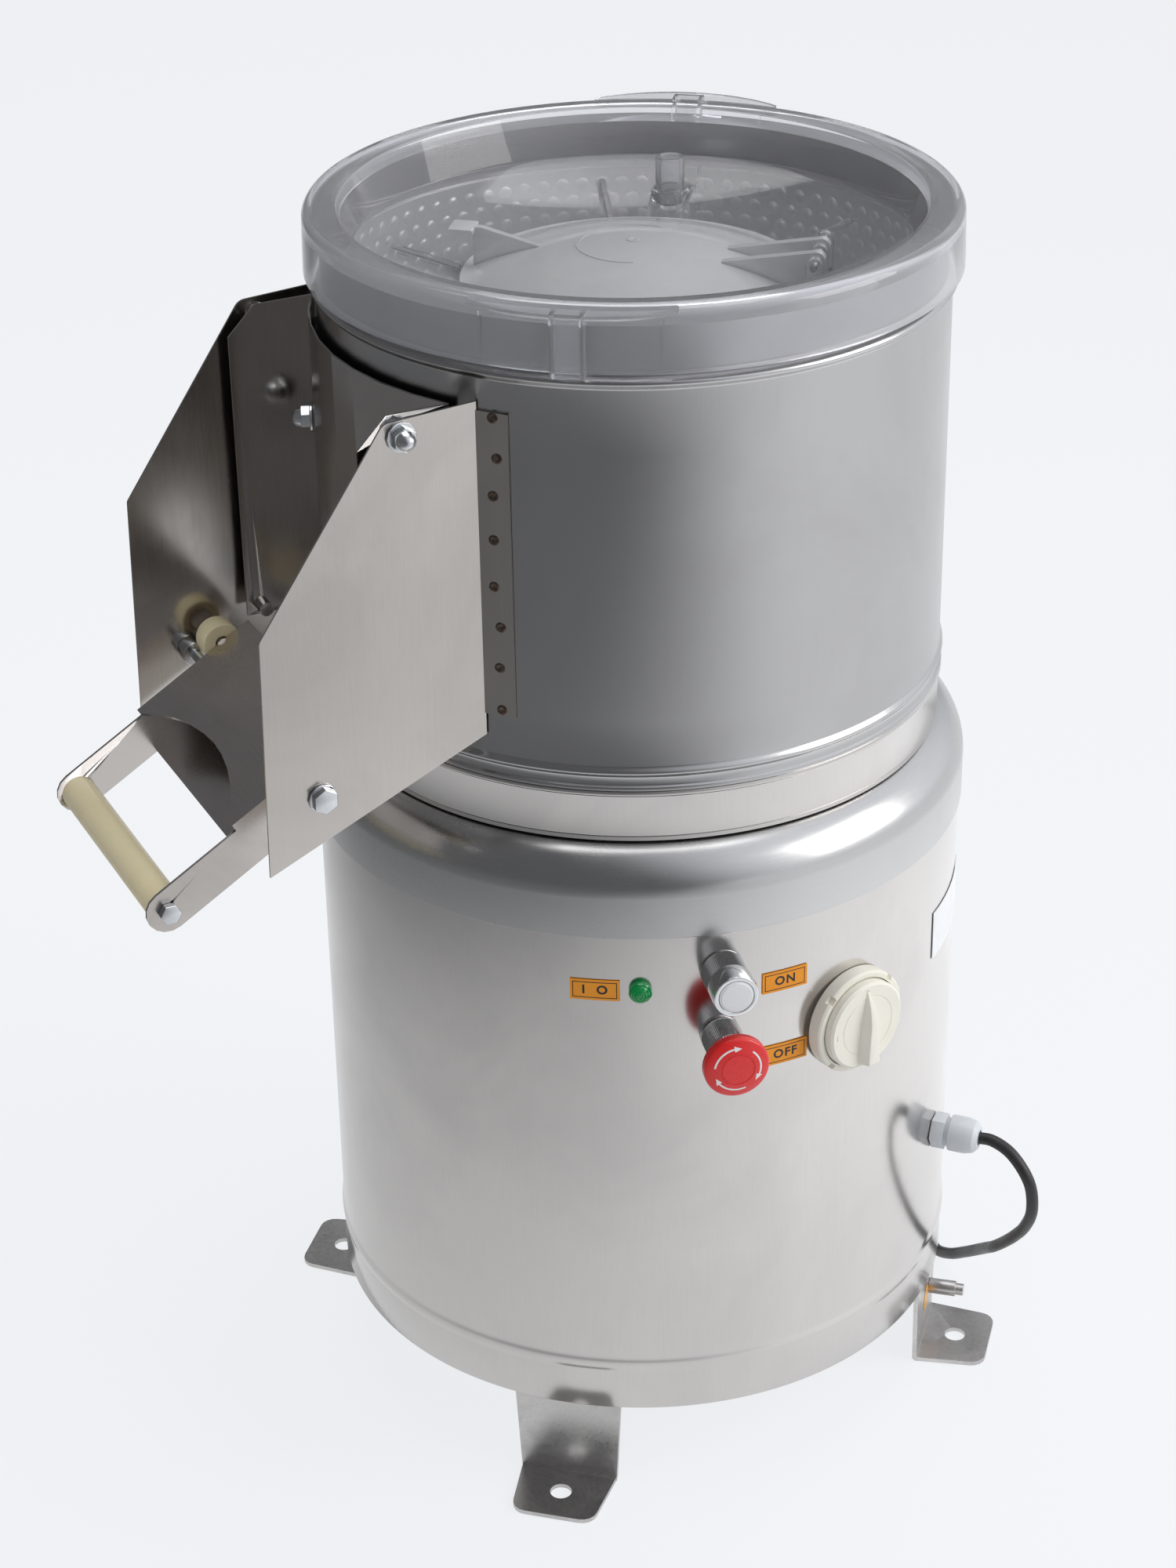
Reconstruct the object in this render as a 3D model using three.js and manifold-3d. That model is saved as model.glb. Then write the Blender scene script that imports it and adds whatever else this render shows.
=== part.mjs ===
// Electric potato peeler: a drum on a round motor housing, with a clear lid, a discharge chute with a door
// and a hand lever, and the electric controls. Millimetres, +Z up. While it is built, the drum's axis is
// x = y = 0, the floor is z = 0, the controls face -Y and the chute faces -X.
import * as THREE from 'three';
import { mergeVertices } from 'three/addons/utils/BufferGeometryUtils.js';
import Module from 'manifold-3d';

const wasm = await Module();
wasm.setup();

// Clearances, cut overrun and the number of steps on a round piece. The curved gap keeps flats that
// don't line up apart.
const seatGap = 0.3;
const curvedGap = 0.7;
const runningGap = 0.3;
const overrun = 3;
const bigSteps = 44;
const flapSteps = 28;
const midSteps = 16;
const smallSteps = 12;

// Housing, its top cap and the feet under it
const housingRadius = 205;
const housingSheet = 1.5;
const floorClearance = 63;
const housingBeadRise = 30;
const housingBeadHeight = 9;
const housingBeadDepth = 1.2;
const capFit = 0.5;
const capSheet = 1.5;
const capSkirtZ = 414;
const capShoulderZ = 441;
const capShoulderRadius = 30;
const capHoleRadius = 120;
const basePlateThickness = 3;
const basePlateRise = 12;
const footThickness = 3;
const footTopWidth = 70;
const footBendWidth = 63.5;
const footTipWidth = 54;
const footLength = 45;
const footCornerRadius = 10;
const footHoleRadius = 7;
const footHoleReach = 21.3;
const footUprightHeight = 112;
const footAzimuths = { foot_front: -40.8, foot_right: 49.2, foot_back: 139.2, foot_left: 229.2 };
const studAcross = 15.7;
const studHeight = 29.5;
const studRadius = 4;
const studLength = 23.4;
const studTubeRadius = 5.3;
const studTubeLength = 18;

// Drive inside the housing
const supportPlateZ = 403;
const supportPlateThickness = 6;
const shaftRadius = 12;
const shaftBottomZ = 296;
const bearingOuterRadius = 26;
const bearingWidth = 15;
const bearingInset = 6;
const bearingHousingRadius = 36;
const bearingHousingLength = 96;
const bearingFlangeRadius = 52;
const bearingFlangeThickness = 10;
const motorAzimuth = 150;
const pulleyDistance = 125;
const motorRadius = 60;
const motorLength = 205;
const motorFlangeRadius = 68;
const motorFlangeThickness = 10;
const motorShaftRadius = 9.5;
const motorShaftSink = 18;
const fanCoverLength = 38;
const fanCoverStep = 3;
const drivenPulleyRadius = 88;
const drivePulleyRadius = 30;
const pulleyHubRadius = 17;
const grooveDepth = 10;
const beltWidth = 10;
const beltInset = 1;
const pulleyWidth = 22;
const pulleyZ = 417;
const contactorSize = { across: 70, deep: 60, high: 85 };
const contactorDistance = 115;
const contactorAzimuth = -2;

// Waste pan, drum and what stands inside it
const panRadius = 189.3;
const panSheet = 1.5;
const panTopZ = 504;
const panCurl = 4;
const panHoleRadius = 24;
const panLipDepth = 1.6;
const panLipHeight = 3;
const sealRadius = 34;
const sealHeight = 10;
const wasteAzimuth = 178;
const wasteRadius = 25;
const wasteLength = 38;
const wasteWall = 1.5;
const wasteRise = 5;
const drumSheet = 1.2;
const drumBeadRise = 8;
const drumBeadHeight = 8;
const drumBeadDepth = 2;
const neckBeadZ = 752;
const neckBeadHeight = 10;
const neckBeadDepth = 3.6;
const linerSheet = 1.5;
const linerBottomZ = 536;
const linerTopZ = 757;
const linerCount = 3;
const linerSplit = 1.2;
const discRadius = 180;
const discTopZ = 528;
const discThickness = 10;
const discHubRadius = 32;
const discHubDrop = 30;
const waveCount = 3;
const waveWidth = 34;
const waveHeight = 9;
const waveInset = 14;
const discNutRadius = 20;
const discNutHeight = 16;

// Chute: two cheek plates that are bent and spot-welded onto the drum
const chuteAzimuth = -90;
const cheekHalfWidth = 111.7;
const cheekSheet = 1.5;
const cheekTopZ = 739;
const cheekTopOuterX = 210;
const cheekTopOuterZ = 736;
const cheekMidX = 290;
const cheekMidZ = 621;
const cheekLowX = 293;
const cheekLowZ = 472;
const cheekRootZ = 532;
const cheekCorner = 8;
const cheekFlangeSpan = 6.2;
const cheekFlangeDrop = 5;
const cheekFlangeRise = 14;

// Drum window, its seal, and the door that hangs on the hinge bolt
const windowHalfSpan = 27;
const windowLowZ = 548;
const windowHighZ = 714;
const doorSealHalfSpan = 29.8;
const doorSealThickness = 2.8;
const doorSealLowZ = 534;
const doorSealHighZ = 723;
const doorSheet = 1.5;
const doorHalfWidth = 101;
const doorLowZ = 534;
const doorHighZ = 736;
const doorFlangeX = 222;
const doorFlangeChamfer = 18;
const hingeX = 200;
const hingeZ = 727;
const hingePinRadius = 6.3;
const hingeBoltRadius = 4;
const hingeHeadRadius = 7;
const hingeHeadHeight = 5;
const domeNutRadius = 7.5;
const domeNutHeight = 7;
const domeShare = 0.8;
const washerRadius = 9;
const washerThickness = 1.6;
const doorStubX = 213;
const doorStubZ = 541;
const doorStubRadius = 4.7;
const doorStubLength = 11;
const doorNutAzimuths = { door_nut_far: -112, door_nut_near: -71.6 };
const doorNutHeights = { door_nut_far: 669, door_nut_near: 584 };

// Hand lever: a folded channel with a grip, on two pivot bolts
const pivotX = 258.3;
const pivotZ = 516;
const leverSlope = 30.3;
const leverHalfWidth = 83;
const leverSheet = 2;
const leverFloorOuter = 56.7;
const leverPlateRise = 5.2;
const leverPlateInner = 38;
const leverPlateOuter = 50;
const leverNotchDepth = 23;
const leverNotchMargin = 6;
const leverArmDepth = 26.4;
const leverArmStep = 0.6;
const gripReach = 109.7;
const gripDrop = 12.9;
const gripRadius = 10.8;
const gripBoltRadius = 4;
const gripBoltHead = 6.6;
const gripBoltHeadHeight = 5;
const pivotBoltRadius = 3.5;
const pivotSpacerRadius = 8;
const pivotHeadRadius = 8;
const pivotHeadHeight = 6;
const rollerForward = 17;
const rollerRise = 2.8;
const rollerRadius = 12.5;
const rollerWidth = 14.5;
const rollerStand = 1;
const rollerPinRadius = 4;
const rollerRecessRadius = 8;
const rollerRecessDepth = 4;
const rollerHeadRadius = 7;
const rollerHeadHeight = 2.5;
const pivotTail = 2;

// Lid: one clear moulding with a well, and the loading flap in its middle
const lidRadius = 195.3;
const lidSkirtRadius = 196;
const lidSkirtZ = 763.6;
const lidTopZ = 801;
const lidWall = 3.5;
const lidRimDepth = 10;
const lidEdgeRadius = 6;
const wellMouthRadius = 174;
const wellKneeRadius = 168;
const wellKneeZ = 772;
const wellFloorRadius = 153;
const wellFloorZ = 762;
const mouthRadius = 97;
const mouthZ = 747;
const lidRibCount = 5;
const lidRibFirstAzimuth = 161;
const lidRibInner = 106;
const lidRibOuter = 148;
const lidRibWidth = 3;
const lidRibHeight = 2.5;
const nippleAzimuth = 143.3;
const nippleReach = 133;
const nippleRadius = 9;
const nippleBore = 6;
const nippleTopZ = 782;
const nippleFootRadius = 12;
const nippleFootHeight = 3;
const lipHalfSpan = 17.5;
const lipProud = 12;
const lipThickness = 3.2;
const lipAzimuths = [-37, 143];
const lipPostWidth = 19;
const lipPostProud = 9;
const lipPostWall = 2.5;
const flapRadius = 104;
const flapDomeRadius = 99;
const flapTopZ = 773;
const flapWall = 2.5;
const flapRim = 3;
const flapAzimuth = 53;
const flapAxisReach = 111;
const flapAxisZ = 770.7;
const knuckleRadius = 5;
const knuckleWidth = 6;
const knucklePitch = 12;
const hingeWireRadius = 2;
const gussetReach = 55;
const finWidth = 5;
const finInner = 54;
const finOuter = 97;
const finTopZ = 777;
const thumbWidth = 18.2;
const thumbDepth = 15.5;
const thumbThickness = 4;

// Controls on the housing wall
const holeFit = 0.3;
const start = { azimuth: -12.8, z: 388, radius: 14, length: 31.5, neck: 11, tail: 28, capRadius: 10.5, capProud: 0.6 };
const startBoreDepth = 14;
const startCapLength = 9;
const stop = { azimuth: -13.1, z: 343, neckRadius: 12.5, neckLength: 22, neck: 11, tail: 28, headRadius: 20 };
const stopHeadFront = 41.5;
const stopHeadThickness = 13;
const stopStemRadius = 7;
const stopStemLength = 26;
const rotary = { azimuth: 12.1, z: 330.7, ringRadius: 34, ringLength: 10, neck: 12, tail: 32 };
const rotaryNotch = 7;
const rotarySteps = 24;
const dialRadius = 29;
const dialFront = 16;
const dialStemRadius = 8;
const dialGrip = { length: 50, width: 15, tipWidth: 7, rise: 23.3 };
const lamp = { azimuth: -26.6, z: 377.8, radius: 7, length: 8, neck: 4, tail: 20 };
const labelSize = { across: 30, high: 14, thick: 0.5 };
const labels = {
  label_mains: { azimuth: -34.2, z: 377.6 },
  label_start: { azimuth: -1.6, z: 373 },
  label_stop: { azimuth: -1.4, z: 321 },
};
const sidePlate = { azimuth: 48, z: 355, across: 78, high: 54, thick: 0.4 };

// Cable gland, mains cord, coil and plug
const gland = { azimuth: 42.5, z: 186.6, radius: 12, neck: 8, tail: 14, length: 31.3 };
const glandNutLength = 9;
const glandTipRadius = 7.5;
const glandClampZ = 12;
const cordRadius = 4;
const cordSides = 8;
const cordSteps = 36;
const cordWaypoints = [
  [172.5, -192.1, 181.4],
  [179.1, -205.3, 164.6],
  [182.2, -206.1, 142.4],
  [184.3, -196.4, 122.1],
  [186.3, -182.2, 104.5],
  [188.5, -166.5, 88.2],
  [191.7, -150.1, 72.8],
  [196.5, -133, 58.6],
  [201.4, -116, 44.4],
  [203.1, -98.3, 30.2],
  [202.5, -79.9, 16.9],
  [204, -59.6, 7],
  [209.7, -37.8, 4.6],
  [212.5, -15.3, 4.5],
  [212.5, 7.4, 4.4],
  [210.6, 30.1, 4.4],
  [206.3, 52.4, 4.4],
  [201.6, 74.6, 4.4],
  [197.2, 97, 4.4],
];
const coilCentre = { x: 244.2, y: 150.4 };
const coilOuterRadius = 51.5;
const coilPitch = 8.6;
const coilLayerRise = 8.5;
const coilTurns = 4.25;
const coilStepsPerTurn = 20;
const coilSides = 6;
const coilLead = 18;
const floorGap = 0.3;
const plugBodyRadius = 17;
const plugBodyLength = 36;
const plugSleeveRadius = 7;
const plugSleeveLength = 30;
const plugPinRadius = 2.4;
const plugPinLength = 19;
const plugPinSpacing = 19;
const plugFaceDepth = 3;

// Colours and surfaces
const steel = { color: 0xb4b2ae, roughness: 0.32, metalness: 1 };
const polishedSteel = { color: 0xc4c2be, roughness: 0.2, metalness: 1 };
const zinc = { color: 0xc9ccd0, roughness: 0.25, metalness: 1 };
const castIron = { color: 0x4c4f52, roughness: 0.6, metalness: 0.8 };
const motorPaint = { color: 0x5b6a75, roughness: 0.5, metalness: 0.2 };
const rubber = { color: 0x1c1d1f, roughness: 0.75, metalness: 0 };
const abrasive = { color: 0x3a3d40, roughness: 0.95, metalness: 0 };
const clear = { color: 0xe6e8ee, roughness: 0.05, metalness: 0, transparent: true, opacity: 0.35 };
const milky = { color: 0xdfe4e6, roughness: 0.35, metalness: 0, transparent: true, opacity: 0.8 };
const cream = { color: 0xefe6b4, roughness: 0.4, metalness: 0 };
const ivory = { color: 0xdedbcd, roughness: 0.45, metalness: 0 };
const red = { color: 0xd01f26, roughness: 0.35, metalness: 0 };
const white = { color: 0xeef0f2, roughness: 0.4, metalness: 0 };
const green = { color: 0x0fa85a, roughness: 0.2, metalness: 0 };
const orange = { color: 0xf2a02e, roughness: 0.5, metalness: 0 };
const greyPlastic = { color: 0xd5dade, roughness: 0.5, metalness: 0 };

// Small helpers: angles, places round the drum's axis, and frames on the housing wall
const turn = 2 * Math.PI;
const radians = THREE.MathUtils.degToRad;

function polar(radius, azimuth, z) {
  const angle = radians(azimuth);
  return new THREE.Vector3(radius * Math.sin(angle), -radius * Math.cos(angle), z);
}

// A frame whose Z points away from the drum's axis, Y up and X to the right as seen from outside.
function wallFrame(radius, azimuth, z) {
  const angle = radians(azimuth);
  const right = new THREE.Vector3(Math.cos(angle), Math.sin(angle), 0);
  const up = new THREE.Vector3(0, 0, 1);
  const out = new THREE.Vector3(Math.sin(angle), -Math.cos(angle), 0);
  return new THREE.Matrix4().makeBasis(right, up, out).setPosition(polar(radius, azimuth, z));
}

// A frame whose X points away from the drum's axis and Z up.
function spokeFrame(radius, azimuth, z) {
  return new THREE.Matrix4().makeRotationZ(radians(azimuth) - turn / 4).setPosition(polar(radius, azimuth, z));
}

function shifted(geometry, x, y, z) {
  return geometry.translate(x, y, z);
}

// Closed meshes in and out of the boolean library
function welded(geometry) {
  const bare = geometry.index ? geometry.toNonIndexed() : geometry.clone();
  bare.deleteAttribute('normal');
  bare.deleteAttribute('uv');
  return mergeVertices(bare);
}

function signedVolume(geometry) {
  const points = geometry.attributes.position;
  const index = geometry.index;
  const corner = [new THREE.Vector3(), new THREE.Vector3(), new THREE.Vector3()];
  let sum = 0;
  for (let i = 0; i < index.count; i += 3) {
    corner.forEach((point, k) => point.fromBufferAttribute(points, index.getX(i + k)));
    sum += corner[0].dot(corner[1].clone().cross(corner[2]));
  }
  return sum / 6;
}

function solid(geometry) {
  const mesh = welded(geometry);
  const inward = signedVolume(mesh) < 0;
  const triangles = [];
  for (let i = 0; i < mesh.index.count; i += 3) {
    const [a, b, c] = [mesh.index.getX(i), mesh.index.getX(i + 1), mesh.index.getX(i + 2)];
    if (a === b || b === c || c === a) continue;
    triangles.push(...(inward ? [a, c, b] : [a, b, c]));
  }
  return new wasm.Manifold(new wasm.Mesh({
    numProp: 3,
    vertProperties: new Float32Array(mesh.attributes.position.array),
    triVerts: new Uint32Array(triangles),
  }));
}

function geometryOf(manifold) {
  const mesh = manifold.getMesh();
  const geometry = new THREE.BufferGeometry();
  geometry.setAttribute('position', new THREE.BufferAttribute(new Float32Array(mesh.vertProperties), 3));
  geometry.setIndex(new THREE.BufferAttribute(new Uint32Array(mesh.triVerts), 1));
  geometry.computeVertexNormals();
  return geometry;
}

function joined(...geometries) {
  return geometryOf(geometries.map(solid).reduce((sum, next) => sum.add(next)));
}

function cut(geometry, ...tools) {
  return geometryOf(tools.map(solid).reduce((rest, tool) => rest.subtract(tool), solid(geometry)));
}

// Basic forms, all along +Z
function revolved(outline, steps = bigSteps) {
  const closed = outline[0][0] === 0 ? outline : [...outline, outline[0]];
  const points = closed.map(([radius, z]) => new THREE.Vector2(radius, z));
  return new THREE.LatheGeometry(points, steps).rotateX(turn / 4);
}

function rod(radius, length, steps = smallSteps) {
  return shifted(new THREE.CylinderGeometry(radius, radius, length, steps).rotateX(turn / 4), 0, 0, length / 2);
}

function hexRod(radius, length) {
  return rod(radius, length, 6);
}

function ring(inner, outer, bottom, top, steps = midSteps) {
  return revolved([[inner, bottom], [outer, bottom], [outer, top], [inner, top]], steps);
}

function block(x, y, z) {
  return new THREE.BoxGeometry(x, y, z);
}

function extruded(points, depth, holes = []) {
  const shape = new THREE.Shape(points.map(([x, y]) => new THREE.Vector2(x, y)));
  holes.forEach((hole) => shape.holes.push(hole));
  return new THREE.ExtrudeGeometry(shape, { depth, bevelEnabled: false, curveSegments: smallSteps });
}

function roundHole(x, y, radius) {
  return new THREE.Path().absarc(x, y, radius, 0, turn, true);
}

// An outline whose corners are rounded: each entry is x, y and the corner's radius.
function roundedOutline(corners, steps = 4) {
  return corners.flatMap(([x, y, radius], i) => {
    if (!radius) return [[x, y]];
    const here = new THREE.Vector2(x, y);
    const towards = (k) => new THREE.Vector2(corners[k][0], corners[k][1]).sub(here).normalize();
    const back = towards((i + corners.length - 1) % corners.length);
    const ahead = towards((i + 1) % corners.length);
    const half = Math.acos(THREE.MathUtils.clamp(back.dot(ahead), -1, 1)) / 2;
    const middle = back.clone().add(ahead).normalize();
    const centre = here.clone().addScaledVector(middle, radius / Math.sin(half));
    const from = here.clone().addScaledVector(back, radius / Math.tan(half)).sub(centre);
    const to = here.clone().addScaledVector(ahead, radius / Math.tan(half)).sub(centre);
    const sweep = Math.atan2(from.cross(to), from.dot(to));
    return Array.from({ length: steps + 1 }, (_, k) => {
      const point = from.clone().rotateAround(new THREE.Vector2(), sweep * k / steps).add(centre);
      return [point.x, point.y];
    });
  });
}

// A piece of a round wall between two azimuths.
function wallSector(inner, outer, from, to, bottom, top, steps = bigSteps) {
  const count = Math.max(2, Math.ceil(steps * (to - from) / 360));
  const arc = (radius) => Array.from({ length: count + 1 }, (_, i) => {
    const point = polar(radius, from + (to - from) * i / count, 0);
    return [point.x, point.y];
  });
  const outline = [...arc(outer), ...arc(inner).reverse()];
  return shifted(extruded(outline, top - bottom), 0, 0, bottom);
}

// The points of a shallow bead that stands proud of a wall.
function bead(radius, bottom, height, depth) {
  return [[radius, bottom], [radius + depth, bottom + height / 3], [radius + depth, bottom + height * 2 / 3],
    [radius, bottom + height]];
}

function arcPoints(centreX, centreZ, radius, from, to, count = 6) {
  return Array.from({ length: count + 1 }, (_, i) => {
    const angle = radians(from + (to - from) * i / count);
    return [centreX + radius * Math.cos(angle), centreZ + radius * Math.sin(angle)];
  });
}

const objectGroup = new THREE.Group();
const cordGroup = new THREE.Group();

function add(name, geometry, look, frame = null, group = objectGroup) {
  const clean = geometryOf(solid(geometry));
  if (frame) clean.applyMatrix4(frame);
  const mesh = new THREE.Mesh(clean, new THREE.MeshStandardMaterial(look));
  mesh.name = name;
  group.add(mesh);
}

function placed(geometry, frame) {
  return geometry.clone().applyMatrix4(frame);
}

// Housing shell: a rolled cylinder with a bead near its foot and holes for the controls
const housingInner = housingRadius - housingSheet;
const capRadius = housingRadius + capFit + capSheet;
const shoulderCentre = capRadius - capShoulderRadius;
const capTopZ = capShoulderZ + capShoulderRadius;
const innerShoulder = capShoulderRadius - capSheet;
const housingTopZ = capShoulderZ;
const wallMounted = [
  { ...start, hole: start.neck },
  { ...stop, hole: stop.neck },
  { ...rotary, hole: rotary.neck },
  { ...lamp, hole: lamp.neck },
  { ...gland, hole: gland.neck },
];
const shellOutline = [
  [housingInner, floorClearance],
  [housingRadius, floorClearance],
  ...bead(housingRadius, floorClearance + housingBeadRise, housingBeadHeight, housingBeadDepth),
  [housingRadius, housingTopZ],
  [housingInner, housingTopZ],
];
const wallHoles = wallMounted.map(({ azimuth, z, hole }) => {
  const drill = shifted(rod(hole + holeFit, housingSheet + 2 * overrun, midSteps), 0, 0, -housingSheet - overrun);
  return placed(drill, wallFrame(housingRadius, azimuth, z));
});
add('housing_shell', cut(revolved(shellOutline), ...wallHoles), steel);

// Top cap: a spun cover with a large round shoulder, open in the middle for the shaft
const capOutline = [
  [capRadius, capSkirtZ],
  ...arcPoints(shoulderCentre, capShoulderZ, capShoulderRadius, 0, 90, 4),
  [capHoleRadius, capTopZ],
  [capHoleRadius, capTopZ - capSheet],
  ...arcPoints(shoulderCentre, capShoulderZ, innerShoulder, 90, 0, 4),
  [capRadius - capSheet, capSkirtZ],
];
add('top_cap', revolved(capOutline), polishedSteel);

// Feet: folded brackets, each a tapered upright inside the shell and a plate with a bolt hole
const footCornerReach = housingInner - curvedGap;
const footFace = Math.sqrt(footCornerReach ** 2 - (footTopWidth / 2) ** 2);
function footBracket() {
  const upright = extruded([
    [-footBendWidth / 2, 0],
    [footBendWidth / 2, 0],
    [footTopWidth / 2, floorClearance],
    [footTopWidth / 2, footUprightHeight],
    [-footTopWidth / 2, footUprightHeight],
    [-footTopWidth / 2, floorClearance],
  ], footThickness).rotateX(turn / 4).rotateZ(turn / 4);
  const plateOutline = roundedOutline([
    [-footThickness, -footBendWidth / 2, 0],
    [footLength, -footTipWidth / 2, footCornerRadius],
    [footLength, footTipWidth / 2, footCornerRadius],
    [-footThickness, footBendWidth / 2, 0],
  ]);
  const plate = extruded(plateOutline, footThickness, [roundHole(footHoleReach, 0, footHoleRadius)]);
  return joined(shifted(upright, -footThickness, 0, 0), plate);
}
Object.entries(footAzimuths).forEach(([name, azimuth]) => {
  add(name, footBracket(), steel, spokeFrame(footFace, azimuth, 0));
});

// Base plate: stands between the uprights and closes the housing from below
const basePlateZ = floorClearance + basePlateRise;
const basePlateRadius = footFace - footThickness - seatGap;
add('base_plate', shifted(rod(basePlateRadius, basePlateThickness, bigSteps), 0, 0, basePlateZ), steel);

// Earth stud: a threaded stud with a spacer tube on the right-hand foot
const studFrame = spokeFrame(footFace, footAzimuths.foot_right, studHeight)
  .multiply(new THREE.Matrix4().makeTranslation(seatGap, studAcross, 0))
  .multiply(new THREE.Matrix4().makeRotationY(turn / 4));
add('earth_stud', joined(rod(studRadius, studLength, 12), rod(studTubeRadius, studTubeLength, 12)), zinc, studFrame);

// Support plate: welded across the shell, it carries the bearing housing and the motor
const motorPlace = polar(pulleyDistance, motorAzimuth, 0);
const supportRadius = housingInner - seatGap;
const supportHoles = [
  [0, 0, bearingHousingRadius],
  [motorPlace.x, motorPlace.y, motorShaftRadius + overrun],
].map(([x, y, radius]) => {
  const drill = rod(radius, supportPlateThickness + 2 * overrun, midSteps);
  return shifted(drill, x, y, supportPlateZ - overrun);
});
const supportDisc = shifted(rod(supportRadius, supportPlateThickness, bigSteps), 0, 0, supportPlateZ);
add('support_plate', cut(supportDisc, ...supportHoles), castIron);

// Bearing housing, its two bearings and the main shaft
const bearingTopZ = supportPlateZ - seatGap;
const bearingBottomZ = bearingTopZ - bearingHousingLength;
const bearingBore = bearingOuterRadius + runningGap;
add('bearing_housing', revolved([
  [bearingBore, bearingBottomZ],
  [bearingHousingRadius, bearingBottomZ],
  [bearingHousingRadius, bearingTopZ - bearingFlangeThickness],
  [bearingFlangeRadius, bearingTopZ - bearingFlangeThickness],
  [bearingFlangeRadius, bearingTopZ],
  [bearingBore, bearingTopZ],
], midSteps), castIron);
const bearingInner = shaftRadius + runningGap;
const lowerBearingZ = bearingBottomZ + bearingInset;
const upperBearingZ = bearingTopZ - bearingInset - bearingWidth;
add('bearing_lower', ring(bearingInner, bearingOuterRadius, lowerBearingZ, lowerBearingZ + bearingWidth), zinc);
add('bearing_upper', ring(bearingInner, bearingOuterRadius, upperBearingZ, upperBearingZ + bearingWidth), zinc);
const shaftTopZ = discTopZ + discNutHeight / 2;
add('main_shaft', shifted(rod(shaftRadius, shaftTopZ - shaftBottomZ, midSteps), 0, 0, shaftBottomZ), zinc);

// Motor: hangs under the support plate
const motorTopZ = supportPlateZ - seatGap;
const motorBottomZ = motorTopZ - motorLength;
const motorFrame = new THREE.Matrix4().makeTranslation(motorPlace.x, motorPlace.y, 0);
const motorBore = motorShaftRadius + runningGap;
const motorCore = motorTopZ - motorShaftSink - overrun;
add('motor', revolved([
  [0, motorBottomZ],
  [motorRadius - fanCoverStep, motorBottomZ],
  [motorRadius - fanCoverStep, motorBottomZ + fanCoverLength],
  [motorRadius, motorBottomZ + fanCoverLength],
  [motorRadius, motorTopZ - motorFlangeThickness],
  [motorFlangeRadius, motorTopZ - motorFlangeThickness],
  [motorFlangeRadius, motorTopZ],
  [motorBore, motorTopZ],
  [motorBore, motorCore],
  [0, motorCore],
], midSteps), motorPaint, motorFrame);
// Pulleys with one belt groove each, the small one on the motor's shaft, and the belt round them
const beltZ = pulleyZ + (pulleyWidth - beltWidth) / 2;
function pulley(bore, radius) {
  const groove = radius - grooveDepth;
  return revolved([
    [bore, pulleyZ],
    [radius, pulleyZ],
    [radius, beltZ - runningGap],
    [groove, beltZ - runningGap],
    [groove, beltZ + beltWidth + runningGap],
    [radius, beltZ + beltWidth + runningGap],
    [radius, pulleyZ + pulleyWidth],
    [bore, pulleyZ + pulleyWidth],
  ], midSteps);
}
add('driven_pulley', pulley(bearingInner, drivenPulleyRadius), castIron);
const motorShaftZ = motorTopZ - motorShaftSink;
const motorShaft = shifted(rod(motorShaftRadius, pulleyZ + pulleyWidth - motorShaftZ), 0, 0, motorShaftZ);
add('drive_pulley', joined(pulley(motorShaftRadius / 2, drivePulleyRadius), motorShaft), castIron, motorFrame);
function beltOutline(bigRadius, smallRadius) {
  const lean = Math.acos((bigRadius - smallRadius) / pulleyDistance);
  const path = new THREE.Path();
  path.absarc(0, 0, bigRadius, lean, turn - lean, false);
  path.absarc(pulleyDistance, 0, smallRadius, -lean, lean, false);
  path.closePath();
  return path;
}
const beltOuter = new THREE.Shape(beltOutline(drivenPulleyRadius - beltInset, drivePulleyRadius - beltInset)
  .getPoints(smallSteps));
const beltInnerBig = drivenPulleyRadius - grooveDepth + seatGap + runningGap;
const beltInnerSmall = drivePulleyRadius - grooveDepth + seatGap;
beltOuter.holes.push(beltOutline(beltInnerBig, beltInnerSmall));
const belt = new THREE.ExtrudeGeometry(beltOuter, { depth: beltWidth, bevelEnabled: false, curveSegments: smallSteps });
const beltFrame = spokeFrame(0, motorAzimuth, beltZ);
add('drive_belt', belt, rubber, beltFrame);

// Contactor: the switchgear block under the support plate, behind the buttons
const contactorZ = motorTopZ - contactorSize.high / 2;
add('contactor', block(contactorSize.across, contactorSize.high, contactorSize.deep), greyPlastic,
  wallFrame(contactorDistance, contactorAzimuth, contactorZ));

// Waste pan: the collar under the drum, with a floor that rests on the cap
const panInner = panRadius - panSheet;
const panSeatZ = capShoulderZ + Math.sqrt(capShoulderRadius ** 2 - (panInner - shoulderCentre) ** 2) + seatGap;
const panFloorZ = capTopZ + seatGap;
const panLip = panRadius + panLipDepth;
const panBody = revolved([
  [panHoleRadius, panFloorZ],
  [panInner - panSheet, panFloorZ],
  [panInner, panSeatZ],
  [panRadius - panSheet / 2, panSeatZ],
  [panRadius, panSeatZ + panCurl],
  [panRadius, panTopZ - panLipHeight],
  [panLip, panTopZ - panLipHeight],
  [panLip, panTopZ],
  [panInner, panTopZ],
  [panInner, panFloorZ + panSheet],
  [panHoleRadius, panFloorZ + panSheet],
]);
const wasteZ = panFloorZ + panSheet + wasteRise;
const wasteFrame = wallFrame(panRadius, wasteAzimuth, wasteZ);
const wasteHole = placed(block(2 * wasteRadius, wasteRadius / 2, 2 * overrun + panSheet)
  .translate(0, wasteRadius / 4, 0), wasteFrame);
add('waste_pan', cut(panBody, wasteHole), steel);

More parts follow.
